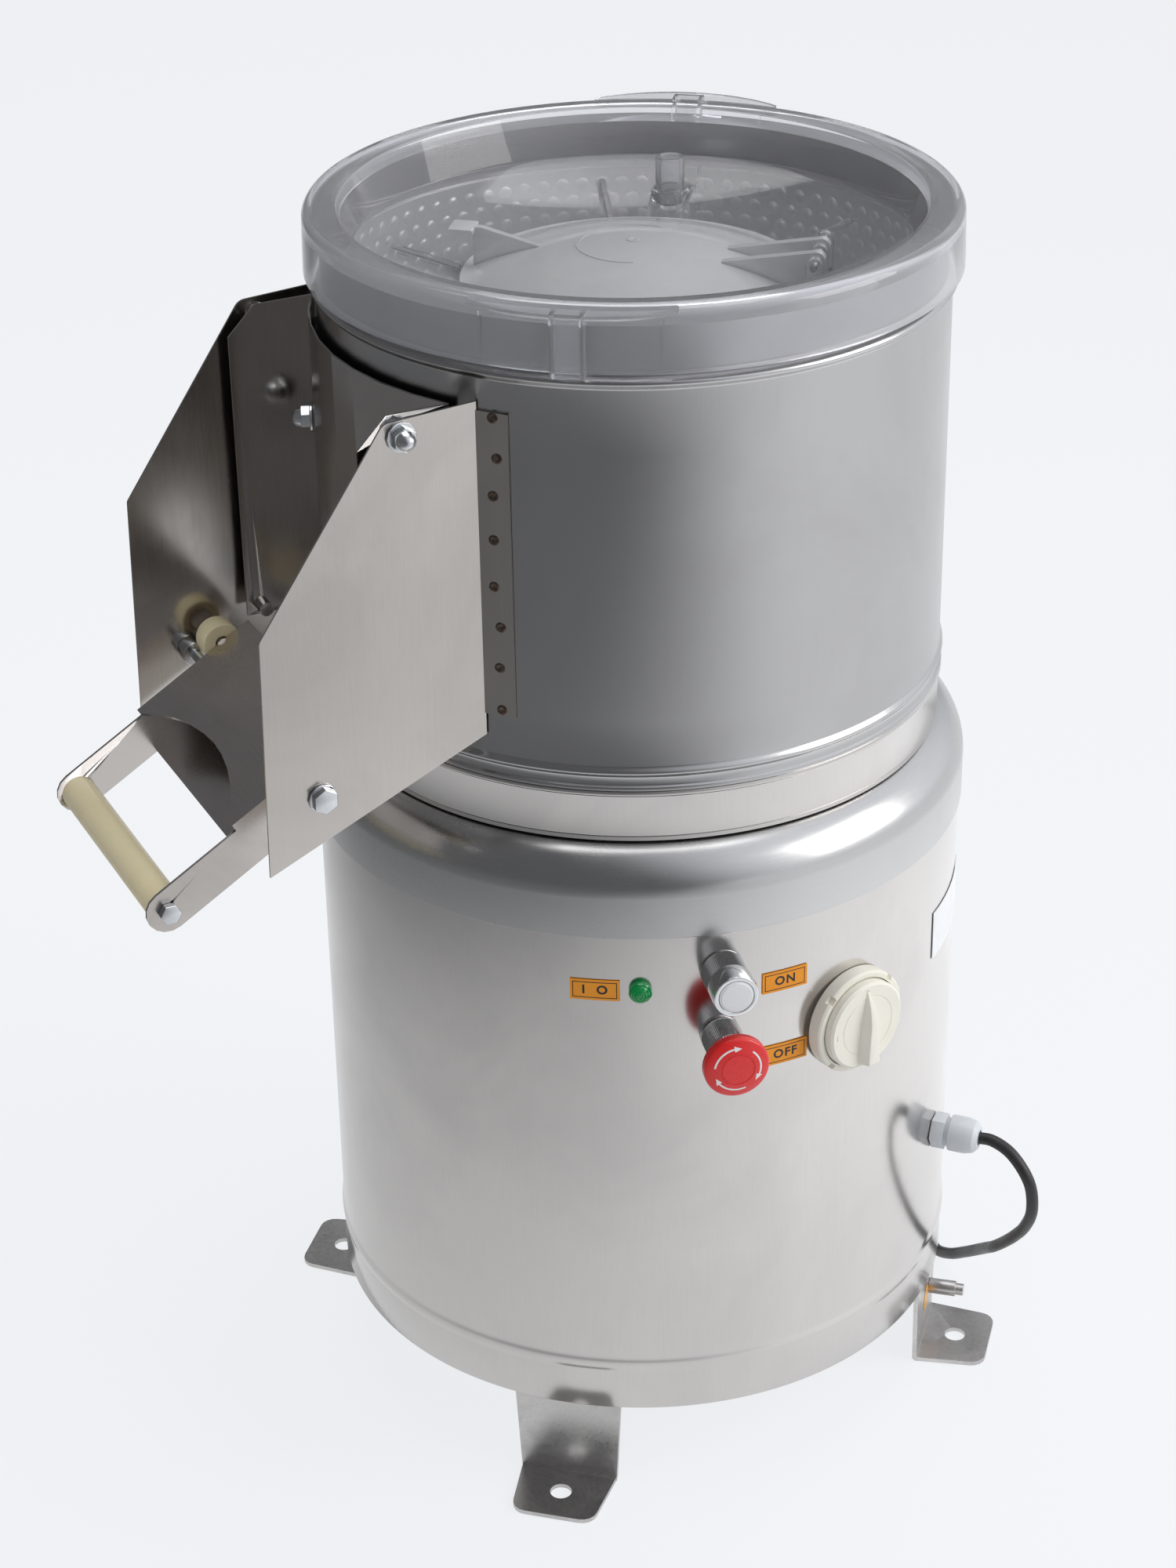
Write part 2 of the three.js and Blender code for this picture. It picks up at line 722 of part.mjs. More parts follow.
// Waste outlet: a flat spout welded round the opening at the back of the pan
const spoutHeight = wasteRadius / 2 + 2 * wasteWall;
const spoutMiddle = wasteRadius / 4;
const spoutShell = block(2 * wasteRadius + 2 * wasteWall, spoutHeight, wasteLength);
const spoutBore = block(2 * wasteRadius, spoutHeight - 2 * wasteWall, wasteLength + 2 * overrun);
const spoutStand = wasteLength / 2 + seatGap;
add('waste_outlet', cut(spoutShell, spoutBore).translate(0, spoutMiddle, spoutStand), steel, wasteFrame);

// Shaft seal: a rubber gaiter that stands on the pan floor round the shaft
const sealZ = panFloorZ + panSheet + seatGap;
add('shaft_seal', revolved([
  [bearingInner, panFloorZ + seatGap],
  [panHoleRadius - seatGap, panFloorZ + seatGap],
  [panHoleRadius - seatGap, sealZ],
  [sealRadius, sealZ],
  [bearingInner + panSheet, sealZ + sealHeight],
  [bearingInner, sealZ + sealHeight],
], midSteps), rubber);

// Drum shell: rolled sheet with a lip and bead at its foot, a bead at its neck and the discharge window
const drumInner = panRadius - drumSheet;
const drumFootZ = panTopZ + seatGap;
const drumTopZ = lidTopZ - lidRimDepth - seatGap;
const drumOutline = [
  [drumInner, drumFootZ],
  [panLip, drumFootZ],
  [panLip, drumFootZ + panLipHeight],
  ...bead(panRadius, drumFootZ + drumBeadRise, drumBeadHeight, drumBeadDepth),
  ...bead(panRadius, neckBeadZ, neckBeadHeight, neckBeadDepth),
  [panRadius, drumTopZ],
  [drumInner, drumTopZ],
];
const windowFrom = chuteAzimuth - windowHalfSpan;
const windowTo = chuteAzimuth + windowHalfSpan;
const windowTool = wallSector(drumInner - overrun, panRadius + overrun, windowFrom, windowTo, windowLowZ, windowHighZ);
add('drum_shell', cut(revolved(drumOutline), windowTool), polishedSteel);

// Rasp liners: rolled plates inside the drum, all round but for the window
const linerOuter = drumInner - curvedGap;
const linerSpan = (360 - 2 * (windowHalfSpan + linerSplit)) / linerCount;
['rasp_liner_front', 'rasp_liner_side', 'rasp_liner_back'].forEach((name, i) => {
  const from = windowTo + linerSplit + linerSpan * i;
  const to = from + linerSpan - linerSplit;
  add(name, wallSector(linerOuter - linerSheet, linerOuter, from, to, linerBottomZ, linerTopZ), steel);
});

// Abrasive disc: spins on the main shaft, with waves that throw the potatoes about
const discBore = shaftRadius + seatGap;
const discPlate = revolved([
  [discBore, discTopZ - discHubDrop],
  [discHubRadius, discTopZ - discHubDrop],
  [discHubRadius, discTopZ - discThickness],
  [discRadius, discTopZ - discThickness],
  [discRadius, discTopZ],
  [discBore, discTopZ],
], bigSteps);
const waveInner = discNutRadius + waveInset;
const waveLength = discRadius - waveInset - waveInner;
const waves = Array.from({ length: waveCount }, (_, i) => {
  const outline = [
    [-waveWidth / 2, -overrun],
    [waveWidth / 2, -overrun],
    [waveWidth / 2, 0],
    [waveWidth / 4, waveHeight],
    [-waveWidth / 4, waveHeight],
    [-waveWidth / 2, 0],
  ];
  const wave = extruded(outline, waveLength).rotateX(turn / 4).rotateZ(turn / 4);
  return placed(wave, spokeFrame(waveInner, 360 / waveCount * i, discTopZ));
});
add('abrasive_disc', joined(discPlate, ...waves), abrasive);
add('disc_nut', revolved([
  [0, shaftTopZ + seatGap],
  [discBore, shaftTopZ + seatGap],
  [discBore, discTopZ + seatGap],
  [discNutRadius, discTopZ + seatGap],
  [discNutRadius, discTopZ + discNutHeight / 2],
  [discNutRadius / 2, discTopZ + discNutHeight],
  [0, discTopZ + discNutHeight],
], midSteps), zinc);

// Cheek plates: flat sides of the chute, each with a curved flange on the drum
const cheekInner = cheekHalfWidth - cheekSheet;
const flangeInner = panRadius + seatGap;
const flangeOuter = flangeInner + cheekSheet;
const cheekRootX = Math.sqrt(flangeInner ** 2 - cheekInner ** 2);
const rootSpan = THREE.MathUtils.radToDeg(Math.asin(cheekInner / flangeInner));
function cheekPlate(side) {
  const outline = roundedOutline([
    [-cheekRootX, cheekRootZ, 0],
    [-cheekRootX, cheekTopZ, 0],
    [-cheekTopOuterX, cheekTopOuterZ, cheekCorner],
    [-cheekMidX, cheekMidZ, cheekCorner / 2],
    [-cheekLowX, cheekLowZ, 0],
  ]);
  const hingeHole = roundHole(-hingeX, hingeZ, side > 0 ? hingePinRadius + runningGap : hingeBoltRadius + seatGap);
  const pivotHole = roundHole(-pivotX, pivotZ, pivotBoltRadius + seatGap);
  const plate = extruded(outline, cheekSheet, [hingeHole, pivotHole]).rotateX(turn / 4);
  const plateY = side > 0 ? cheekHalfWidth : -cheekInner;
  const bottom = cheekRootZ + cheekFlangeRise;
  const top = cheekTopZ - cheekFlangeDrop;
  const from = chuteAzimuth + side * -rootSpan;
  const to = from + side * -cheekFlangeSpan;
  const flange = wallSector(flangeInner, flangeOuter, Math.min(from, to), Math.max(from, to), bottom, top);
  return joined(shifted(plate, 0, plateY, 0), flange);
}
add('cheek_near', cheekPlate(-1), steel);
add('cheek_far', cheekPlate(1), steel);

// Door seal: a rubber frame round the window
const doorSealInner = panRadius + curvedGap;
const doorSealOuter = doorSealInner + doorSealThickness;
const doorSealBody = wallSector(doorSealInner, doorSealOuter, chuteAzimuth - doorSealHalfSpan,
  chuteAzimuth + doorSealHalfSpan, doorSealLowZ, doorSealHighZ);
const doorSealHole = wallSector(doorSealInner - overrun, doorSealOuter + overrun, windowFrom, windowTo,
  windowLowZ, windowHighZ);
add('door_seal', cut(doorSealBody, doorSealHole), rubber);

// Door tray: a curved panel with a folded flange at each side, a hinge pin and two stub pins
const doorInner = doorSealOuter + curvedGap;
const doorOuter = doorInner + doorSheet;
const doorFlangeFace = doorHalfWidth - doorSheet;
const doorHalfSpan = THREE.MathUtils.radToDeg(Math.asin(doorHalfWidth / doorOuter));
const doorRootX = Math.sqrt(doorInner ** 2 - doorFlangeFace ** 2);
function doorFlange(side) {
  const outline = [
    [-doorRootX, doorLowZ],
    [-doorRootX, doorHighZ],
    [-doorFlangeX + doorFlangeChamfer, doorHighZ],
    [-doorFlangeX, doorHighZ - doorFlangeChamfer],
    [-doorFlangeX, doorLowZ],
  ];
  const hole = side < 0 ? [roundHole(-hingeX, hingeZ, hingeBoltRadius + runningGap)] : [];
  const plate = extruded(outline, doorSheet, hole).rotateX(turn / 4);
  return shifted(plate, 0, side > 0 ? doorHalfWidth : -doorFlangeFace, 0);
}
function crossPin(radius, x, z, from, to, steps = smallSteps) {
  const pin = rod(radius, Math.abs(to - from), steps).rotateX(-turn / 4);
  return shifted(pin, x, Math.min(from, to), z);
}
const doorParts = [
  wallSector(doorInner, doorOuter, chuteAzimuth - doorHalfSpan, chuteAzimuth + doorHalfSpan, doorLowZ, doorHighZ),
  doorFlange(1),
  doorFlange(-1),
  crossPin(hingePinRadius, -hingeX, hingeZ, doorFlangeFace, cheekHalfWidth + cheekSheet),
  crossPin(doorStubRadius, -doorStubX, doorStubZ, doorFlangeFace - doorStubLength, doorHalfWidth),
  crossPin(doorStubRadius, -doorStubX, doorStubZ, -doorHalfWidth, doorStubLength - doorFlangeFace),
];
add('door_tray', joined(...doorParts), steel);

// Dome nuts: on the studs of the rasp plate behind the door
function domeNut() {
  return joined(
    hexRod(domeNutRadius, domeNutHeight),
    revolved([
      [0, domeNutHeight / 2],
      [domeNutRadius * domeShare, domeNutHeight / 2],
      ...arcPoints(0, domeNutHeight, domeNutRadius * domeShare, 0, 90, 3),
    ], 12),
    rod(washerRadius, washerThickness),
  );
}
Object.entries(doorNutAzimuths).forEach(([name, azimuth]) => {
  add(name, domeNut(), zinc, wallFrame(doorOuter + seatGap, azimuth, doorNutHeights[name]));
});

// Near hinge bolt: from inside the door flange out through the cheek, with a washer and a dome nut
const hingeHeadY = -(doorFlangeFace - seatGap);
const hingeTailY = -(cheekHalfWidth + seatGap);
const outward = new THREE.Matrix4().makeRotationX(turn / 4).setPosition(-hingeX, hingeTailY, hingeZ);
add('hinge_bolt_near', joined(
  crossPin(hingeBoltRadius, -hingeX, hingeZ, hingeHeadY, hingeTailY - domeNutHeight),
  crossPin(hingeHeadRadius, -hingeX, hingeZ, hingeHeadY, hingeHeadY + hingeHeadHeight, 6),
  crossPin(washerRadius, -hingeX, hingeZ, -(doorHalfWidth + seatGap), -(cheekInner - seatGap)),
  placed(domeNut(), outward),
), zinc);

// Lever frame: a plate with an arched notch above and a straight one below, between two side arms
const leverFrame = new THREE.Matrix4().makeRotationY(-radians(leverSlope)).setPosition(-pivotX, 0, pivotZ);
const notchHalf = leverHalfWidth - leverNotchMargin;
const notchRadius = (notchHalf ** 2 + leverNotchDepth ** 2) / (2 * leverNotchDepth);
const notchAngle = THREE.MathUtils.radToDeg(Math.asin(notchHalf / notchRadius));
const notchCentre = -leverPlateOuter + leverNotchDepth - notchRadius;
const leverPlate = extruded([
  [leverPlateInner, -leverHalfWidth],
  [leverPlateInner, leverHalfWidth],
  [-leverPlateOuter, leverHalfWidth],
  ...arcPoints(notchCentre, 0, notchRadius, notchAngle, -notchAngle, 10),
  [-leverPlateOuter, -leverHalfWidth],
], leverSheet).translate(0, 0, leverPlateRise - leverSheet);
const armLow = -leverArmDepth;
const armRound = (leverArmDepth + leverArmStep) / 2;
const armEnd = gripReach + armRound;
const armOutline = roundedOutline([
  [leverPlateInner, leverPlateRise, 0],
  [-leverPlateOuter, leverPlateRise, 0],
  [-leverPlateOuter, leverArmStep, 0],
  [-armEnd, leverArmStep, armRound],
  [-armEnd, armLow, armRound],
  [leverPlateInner / 2, armLow, 0],
  [leverPlateInner, armLow / 2, 0],
]);
function leverArm(faceY) {
  const holes = [
    roundHole(-gripReach, -gripDrop, gripBoltRadius + seatGap),
  ];
  return shifted(extruded(armOutline, leverSheet, holes).rotateX(turn / 4), 0, faceY, 0);
}
const armInner = leverHalfWidth - leverSheet;
const rollerInner = leverHalfWidth + rollerStand;
const rollerOuter = rollerInner + rollerWidth;
const rollerFloor = rollerOuter - rollerRecessDepth;
const headFrom = rollerFloor + runningGap;
function rollerStud(side) {
  const headTo = headFrom + rollerHeadHeight;
  const studFrom = leverHalfWidth - leverSheet / 2;
  return joined(
    crossPin(rollerPinRadius, rollerForward, rollerRise, side * studFrom, side * headTo),
    crossPin(rollerHeadRadius, rollerForward, rollerRise, side * headFrom, side * headTo),
  );
}
const leverFloor = block(leverFloorOuter + leverPlateInner / 2, 2 * leverHalfWidth - leverSheet, leverSheet)
  .translate((leverPlateInner / 2 - leverFloorOuter) / 2, 0, armLow + leverSheet / 2);
const leverSheets = joined(leverPlate, leverFloor, leverArm(leverHalfWidth), leverArm(-armInner));
const leverBody = joined(leverSheets, rollerStud(1), rollerStud(-1));
const pivotEndY = armInner - pivotTail;
const pivotDrills = [-1, 1].map((side) => {
  return crossPin(pivotBoltRadius + runningGap, 0, 0, side * (pivotEndY - overrun), side * rollerInner);
});
add('lever_frame', cut(leverBody, ...pivotDrills), steel, leverFrame);

// Grip: a plastic tube on a bolt between the two arms
const alongY = new THREE.Matrix4().makeRotationX(-turn / 4);
const gripHalf = armInner - seatGap;
const gripFrame = leverFrame.clone().multiply(new THREE.Matrix4().makeTranslation(-gripReach, 0, -gripDrop));
add('lever_grip', placed(ring(gripBoltRadius + seatGap, gripRadius, -gripHalf, gripHalf), alongY), cream, gripFrame);
const gripHeadY = leverHalfWidth + seatGap;
add('grip_bolt', joined(
  crossPin(gripBoltRadius, 0, 0, -gripHeadY - gripBoltHeadHeight, gripHeadY + gripBoltHeadHeight),
  crossPin(gripBoltHead, 0, 0, gripHeadY, gripHeadY + gripBoltHeadHeight, 6),
  crossPin(gripBoltHead, 0, 0, -gripHeadY, -gripHeadY - gripBoltHeadHeight, 6),
), zinc, gripFrame);

// Rollers: one outside each arm, on a stud with a sunk head
const rollerFrame = leverFrame.clone().multiply(new THREE.Matrix4().makeTranslation(rollerForward, 0, rollerRise));
const rollerBore = rollerPinRadius + runningGap;
const rollerFar = placed(revolved([
  [rollerBore, rollerInner],
  [rollerRadius, rollerInner],
  [rollerRadius, rollerOuter],
  [rollerRecessRadius, rollerOuter],
  [rollerRecessRadius, rollerFloor],
  [rollerBore, rollerFloor],
], midSteps), alongY);
add('lever_roller_far', rollerFar, cream, rollerFrame);
add('lever_roller_near', rollerFar.clone().rotateZ(turn / 2), cream, rollerFrame);

// Pivot bolts: through a cheek and a spacer into an arm; the two spacers keep the lever in the middle
const pivotHeadY = cheekHalfWidth + seatGap;
const pivotTipY = pivotHeadY + pivotHeadHeight;
const spacerFrom = rollerOuter + runningGap;
function pivotBolt(side) {
  return joined(
    crossPin(pivotBoltRadius, -pivotX, pivotZ, side * pivotEndY, side * pivotTipY),
    crossPin(washerRadius, -pivotX, pivotZ, side * pivotHeadY, side * (pivotHeadY + washerThickness)),
    crossPin(pivotHeadRadius, -pivotX, pivotZ, side * pivotHeadY, side * pivotTipY, 6),
    crossPin(pivotSpacerRadius, -pivotX, pivotZ, side * spacerFrom, side * (cheekInner - seatGap)),
  );
}
add('pivot_bolt_near', pivotBolt(-1), zinc);
add('pivot_bolt_far', pivotBolt(1), zinc);

// Lid: a clear moulding with a deep well, ribs, a filling nipple, hinge lugs and two finger lips
const lidRimInner = wellMouthRadius + lidWall;
const lidRimLowZ = lidTopZ - lidRimDepth;
const lidProfile = [
  [lidSkirtRadius, lidSkirtZ],
  ...arcPoints(lidRadius - lidEdgeRadius, lidTopZ - lidEdgeRadius, lidEdgeRadius, 0, 90, 3),
  [lidRimInner, lidTopZ],
  [wellMouthRadius, lidTopZ - lidWall / 2],
  [wellKneeRadius, wellKneeZ],
  [wellFloorRadius, wellFloorZ],
  [mouthRadius, mouthZ],
  [mouthRadius, mouthZ - lidWall],
  [wellFloorRadius, wellFloorZ - lidWall],
  [wellKneeRadius + lidWall, wellKneeZ - lidWall / 2],
  [wellMouthRadius + lidWall / 2, lidRimLowZ],
  [lidSkirtRadius - lidWall, lidRimLowZ],
  [lidSkirtRadius - lidWall, lidSkirtZ],
];
const floorSlope = (wellFloorZ - mouthZ) / (wellFloorRadius - mouthRadius);
function lidFloorZ(radius) {
  return mouthZ + (radius - mouthRadius) * floorSlope;
}
function lidRib(azimuth) {
  const outline = [
    [lidRibInner, lidFloorZ(lidRibInner) - lidWall / 2],
    [lidRibOuter, lidFloorZ(lidRibOuter) - lidWall / 2],
    [lidRibOuter, lidFloorZ(lidRibOuter) + lidRibHeight],
    [lidRibInner, lidFloorZ(lidRibInner) + lidRibHeight],
  ];
  const rib = extruded(outline, lidRibWidth).rotateX(turn / 4);
  return placed(shifted(rib, 0, lidRibWidth / 2, 0), spokeFrame(0, azimuth, 0));
}
const lugFootZ = lidFloorZ(flapAxisReach) - lidWall / 2;
function lug(across) {
  const foot = block(2 * knuckleRadius, knuckleWidth, flapAxisZ - lugFootZ);
  const eye = crossPin(knuckleRadius, 0, 0, -knuckleWidth / 2, knuckleWidth / 2);
  return joined(shifted(foot, 0, 0, (lugFootZ - flapAxisZ) / 2), eye).translate(0, across, 0);
}
const axisFrame = spokeFrame(flapAxisReach, flapAzimuth, flapAxisZ);
const lugs = [-2, 0, 2].map((place) => placed(lug(place * knucklePitch), axisFrame));
const wireReach = 2 * knucklePitch + knuckleWidth;
const wireHole = placed(crossPin(hingeWireRadius + seatGap, 0, 0, -wireReach, wireReach, 12), axisFrame);
function lipEdge(azimuth, radius, proud) {
  return Array.from({ length: 9 }, (_, i) => {
    const share = i / 4 - 1;
    const point = polar(radius + proud * (1 - share ** 2), azimuth + lipHalfSpan * share, 0);
    return [point.x, point.y];
  });
}
function fingerLip(azimuth) {
  const inside = lipEdge(azimuth, lidRadius - lidEdgeRadius, 0).reverse();
  const tab = extruded([...lipEdge(azimuth, lidRadius, lipProud), ...inside], lipThickness);
  const postLength = lipPostProud + lidWall / 2;
  const postHeight = lidTopZ - lidWall / 2 - lidSkirtZ;
  const hollowDepth = lipPostProud - lipPostWall;
  const hollow = block(hollowDepth, lipPostWidth - 2 * lipPostWall, postHeight);
  const post = cut(
    shifted(block(postLength, lipPostWidth, postHeight), postLength / 2, 0, 0),
    shifted(hollow, postLength - lipPostWall - hollowDepth / 2, 0, -lipPostWall),
  );
  const postFrame = spokeFrame(lidSkirtRadius - lidWall / 2, azimuth, lidSkirtZ + postHeight / 2);
  return joined(shifted(tab, 0, 0, lidTopZ - lipThickness), placed(post, postFrame));
}
const nipplePlace = polar(nippleReach, nippleAzimuth, 0);
const nippleFootZ = lidFloorZ(nippleReach) - lidWall / 2;
const nippleRod = (radius, from, to) => shifted(rod(radius, to - from, midSteps), nipplePlace.x, nipplePlace.y, from);
const nippleParts = [
  nippleRod(nippleRadius, nippleFootZ, nippleTopZ),
  nippleRod(nippleFootRadius, nippleFootZ, nippleFootZ + lidWall + nippleFootHeight),
];
const nippleDrill = nippleRod(nippleBore, mouthZ, nippleTopZ + overrun);
const lidRibs = Array.from({ length: lidRibCount }, (_, i) => lidRib(lidRibFirstAzimuth - 360 / lidRibCount * i));
const lidBody = joined(revolved(lidProfile), ...lidRibs, ...lugs, ...nippleParts, ...lipAzimuths.map(fingerLip));
add('lid', cut(lidBody, wireHole, nippleDrill), clear);

// Loading flap: a milky dome with hinge knuckles, gussets and a finger fin
const flapRimZ = lidFloorZ(flapRadius) + seatGap;
const flapRise = flapTopZ - flapRimZ - flapRim;
const flapSphere = (flapDomeRadius ** 2 + flapRise ** 2) / (2 * flapRise);
const flapAngle = THREE.MathUtils.radToDeg(Math.asin(flapDomeRadius / flapSphere));
const domeCentreZ = flapTopZ - flapSphere;
function domeZ(radius) {
  return domeCentreZ + Math.sqrt(flapSphere ** 2 - radius ** 2);
}
const flapShell = revolved([
  [0, flapTopZ - flapWall],
  ...arcPoints(0, domeCentreZ, flapSphere - flapWall, 90, 90 - flapAngle, 5).slice(1),
  [flapDomeRadius - flapWall, flapRimZ],
  [flapRadius, flapRimZ],
  [flapRadius, flapRimZ + flapRim],
  ...arcPoints(0, domeCentreZ, flapSphere, 90 - flapAngle, 90, 5).slice(0, -1),
  [0, flapTopZ],
], flapSteps);
function gusset(across) {
  const outline = [
    [gussetReach, domeZ(gussetReach) - flapWall / 2],
    [gussetReach, domeZ(gussetReach) + flapWall / 4],
    [flapAxisReach, flapAxisZ + knuckleRadius],
    [flapAxisReach, flapAxisZ - knuckleRadius],
    [flapRadius, flapRimZ + flapRim / 2],
    [flapDomeRadius, flapRimZ + flapRim / 2],
  ];
  const rib = shifted(extruded(outline, knuckleWidth).rotateX(turn / 4), 0, across + knuckleWidth / 2, 0);
  const eye = crossPin(knuckleRadius, flapAxisReach, flapAxisZ, across - knuckleWidth / 2, across + knuckleWidth / 2);
  const bore = crossPin(hingeWireRadius + runningGap, flapAxisReach, flapAxisZ, -wireReach, wireReach, 12);
  return placed(cut(joined(rib, eye), bore), spokeFrame(0, flapAzimuth, 0));
}
const finOutline = [
  [finInner, domeZ(finInner) - flapWall / 2],
  [finOuter, domeZ(finOuter) - flapWall / 2],
  [finOuter, finTopZ],
  [finOuter - finWidth, finTopZ],
];
const finPlate = shifted(extruded(finOutline, finWidth).rotateX(turn / 4), 0, finWidth / 2, 0);
const thumbPlate = block(thumbDepth, thumbWidth, thumbThickness)
  .translate(finOuter + (thumbDepth - flapWall) / 2, 0, finTopZ - thumbThickness / 2);
const fin = placed(joined(finPlate, thumbPlate), spokeFrame(0, flapAzimuth + 180, 0));
add('loading_flap', joined(flapShell, gusset(-knucklePitch), gusset(knucklePitch), fin), milky);
add('flap_pin', crossPin(hingeWireRadius, 0, 0, -wireReach, wireReach, 12), zinc, axisFrame);

// Start button: a knurled metal barrel with a white cap in it
const startFrame = wallFrame(housingRadius, start.azimuth, start.z);
const startFloor = start.length - startBoreDepth;
add('start_barrel', revolved([
  [0, -start.tail],
  [start.neck, -start.tail],
  [start.neck, seatGap],
  [start.radius, seatGap],
  [start.radius, start.length],
  [start.capRadius + runningGap, start.length],
  [start.capRadius + runningGap, startFloor],
  [0, startFloor],
], midSteps), zinc, startFrame);
const startCapZ = start.length + start.capProud - startCapLength;
add('start_cap', shifted(rod(start.capRadius, startCapLength, midSteps), 0, 0, startCapZ), white, startFrame);

// Stop button: a knurled neck, a sliding stem and a red mushroom head that twists on it
const stopFrame = wallFrame(housingRadius, stop.azimuth, stop.z);
const stopBore = stopStemRadius + runningGap;
add('stop_neck', revolved([
  [stopBore, -stop.tail],
  [stop.neck, -stop.tail],
  [stop.neck, seatGap],
  [stop.neckRadius, seatGap],
  [stop.neckRadius, stop.neckLength],
  [stopBore, stop.neckLength],
], midSteps), zinc, stopFrame);
const stopHeadZ = stopHeadFront - stopHeadThickness;
const stopSocketZ = stopHeadZ + stopHeadThickness / 2;
const stopStemZ = stopSocketZ - seatGap - stopStemLength;
add('stop_stem', shifted(rod(stopStemRadius, stopStemLength, midSteps), 0, 0, stopStemZ), greyPlastic, stopFrame);
const stopRound = stopHeadThickness / 4;
add('stop_head', revolved([
  [0, stopSocketZ],
  [stopBore, stopSocketZ],
  [stopBore, stopHeadZ],
  [stop.headRadius - stopRound, stopHeadZ],
  [stop.headRadius, stopHeadZ + stopRound],
  [stop.headRadius, stopHeadFront - 2 * stopRound],
  [stop.headRadius - stopRound / 2, stopHeadFront - stopRound],
  [stop.headRadius - 2 * stopRound, stopHeadFront - stopRound / 2],
  [stop.headRadius / 2, stopHeadFront],
  [0, stopHeadFront],
], midSteps), red, stopFrame);

// Rotary switch: a notched ring on the wall and a dial with a raised pointer grip
const rotaryFrame = wallFrame(housingRadius, rotary.azimuth, rotary.z);
const dialStemBore = dialStemRadius + runningGap;
const ringPocket = dialRadius + runningGap;
const ringFloor = rotary.ringLength / 2;
const rotaryBody = revolved([
  [dialStemBore, -rotary.tail],
  [rotary.neck, -rotary.tail],
  [rotary.neck, seatGap],
  [rotary.ringRadius, seatGap],
  [rotary.ringRadius, rotary.ringLength],
  [ringPocket, rotary.ringLength],
  [ringPocket, ringFloor],
  [dialStemBore, ringFloor],
], rotarySteps);
const notchAngles = [0, 90, 180, 270];
const ringNotches = notchAngles.map((angle) => {
  const tool = block(rotaryNotch, rotaryNotch, rotary.ringLength);
  return tool.translate(rotary.ringRadius, 0, rotary.ringLength).rotateZ(radians(angle + 45));
});
add('rotary_ring', cut(rotaryBody, ...ringNotches), ivory, rotaryFrame);
const dialBack = ringFloor + runningGap;
const gripOutline = [
  [-dialGrip.width / 2, -dialGrip.length / 2],
  [dialGrip.width / 2, -dialGrip.length / 2],
  [dialGrip.tipWidth / 2, dialGrip.length / 2],
  [-dialGrip.tipWidth / 2, dialGrip.length / 2],
];
const dialTail = rotary.tail - runningGap;
add('rotary_dial', joined(
  shifted(rod(dialRadius, dialFront - dialBack, rotarySteps), 0, 0, dialBack),
  shifted(rod(dialStemRadius, dialTail + dialFront, midSteps), 0, 0, -dialTail),
  shifted(extruded(gripOutline, dialGrip.rise - dialBack), 0, 0, dialBack),
), ivory, rotaryFrame);

// Lamp, name plates and the bare plate on the side
add('lamp_lens', revolved([
  [0, -lamp.tail],
  [lamp.neck, -lamp.tail],
  [lamp.neck, seatGap],
  [lamp.radius, seatGap],
  [lamp.radius, lamp.length / 2],
  [lamp.radius * domeShare, lamp.length],
  [0, lamp.length],
], midSteps), green, wallFrame(housingRadius, lamp.azimuth, lamp.z));
function wallPlate({ azimuth, z }, { across, high, thick }) {
  const half = THREE.MathUtils.radToDeg(across / 2 / housingRadius);
  const inner = housingRadius + seatGap;
  return wallSector(inner, inner + thick, azimuth - half, azimuth + half, z - high / 2, z + high / 2, 2 * bigSteps);
}
Object.entries(labels).forEach(([name, place]) => add(name, wallPlate(place, labelSize), orange));
add('side_plate', wallPlate(sidePlate, sidePlate), white);

// Cable gland: a screwed body with a hexagon nut and a tapered clamp
const glandFrame = wallFrame(housingRadius, gland.azimuth, gland.z);
add('cable_gland', joined(
  shifted(rod(gland.neck, gland.tail + glandNutLength, midSteps), 0, 0, -gland.tail),
  shifted(hexRod(gland.radius, glandNutLength), 0, 0, seatGap),
  revolved([
    [0, glandNutLength / 2],
    [gland.radius * domeShare, glandNutLength / 2],
    [gland.radius * domeShare, glandClampZ],
    [gland.radius, glandClampZ],
    [gland.radius, gland.length - glandNutLength],
    [glandTipRadius, gland.length],
    [0, gland.length],
  ], smallSteps),
), greyPlastic, glandFrame);

// Coil: the spare cord lies on the floor behind the machine, wound inwards and out again in two layers
const coilHalfTurns = coilTurns / 2;
const cordFloorZ = cordRadius + floorGap;
const plugZ = plugBodyRadius + floorGap;
function coilPoint(turns) {
  const angle = turn / 2 - turns * turn;
  const radius = coilOuterRadius - coilPitch * Math.min(turns, coilTurns - turns);
  const climb = THREE.MathUtils.smoothstep(turns, coilHalfTurns - 1 / 4, coilHalfTurns + 1 / 4);
  const layerZ = cordFloorZ + climb * coilLayerRise;
  const lift = THREE.MathUtils.smoothstep(turns, coilTurns - 1 / 4, coilTurns);
  const z = layerZ + lift * (plugZ - layerZ);
  return new THREE.Vector3(coilCentre.x + radius * Math.cos(angle), coilCentre.y + radius * Math.sin(angle), z);
}
const coilCount = Math.round(coilTurns * coilStepsPerTurn);
const coilLoops = Array.from({ length: coilCount + 1 }, (_, i) => coilPoint(i / coilStepsPerTurn));
const cordDiameter = 2 * cordRadius;
const coilStart = coilLoops[0].clone().add(new THREE.Vector3(0, -cordDiameter, 0));
const coilEnd = coilLoops[coilCount].clone().add(new THREE.Vector3(coilLead, 0, 0));
const coilPath = [coilStart, ...coilLoops, coilEnd];
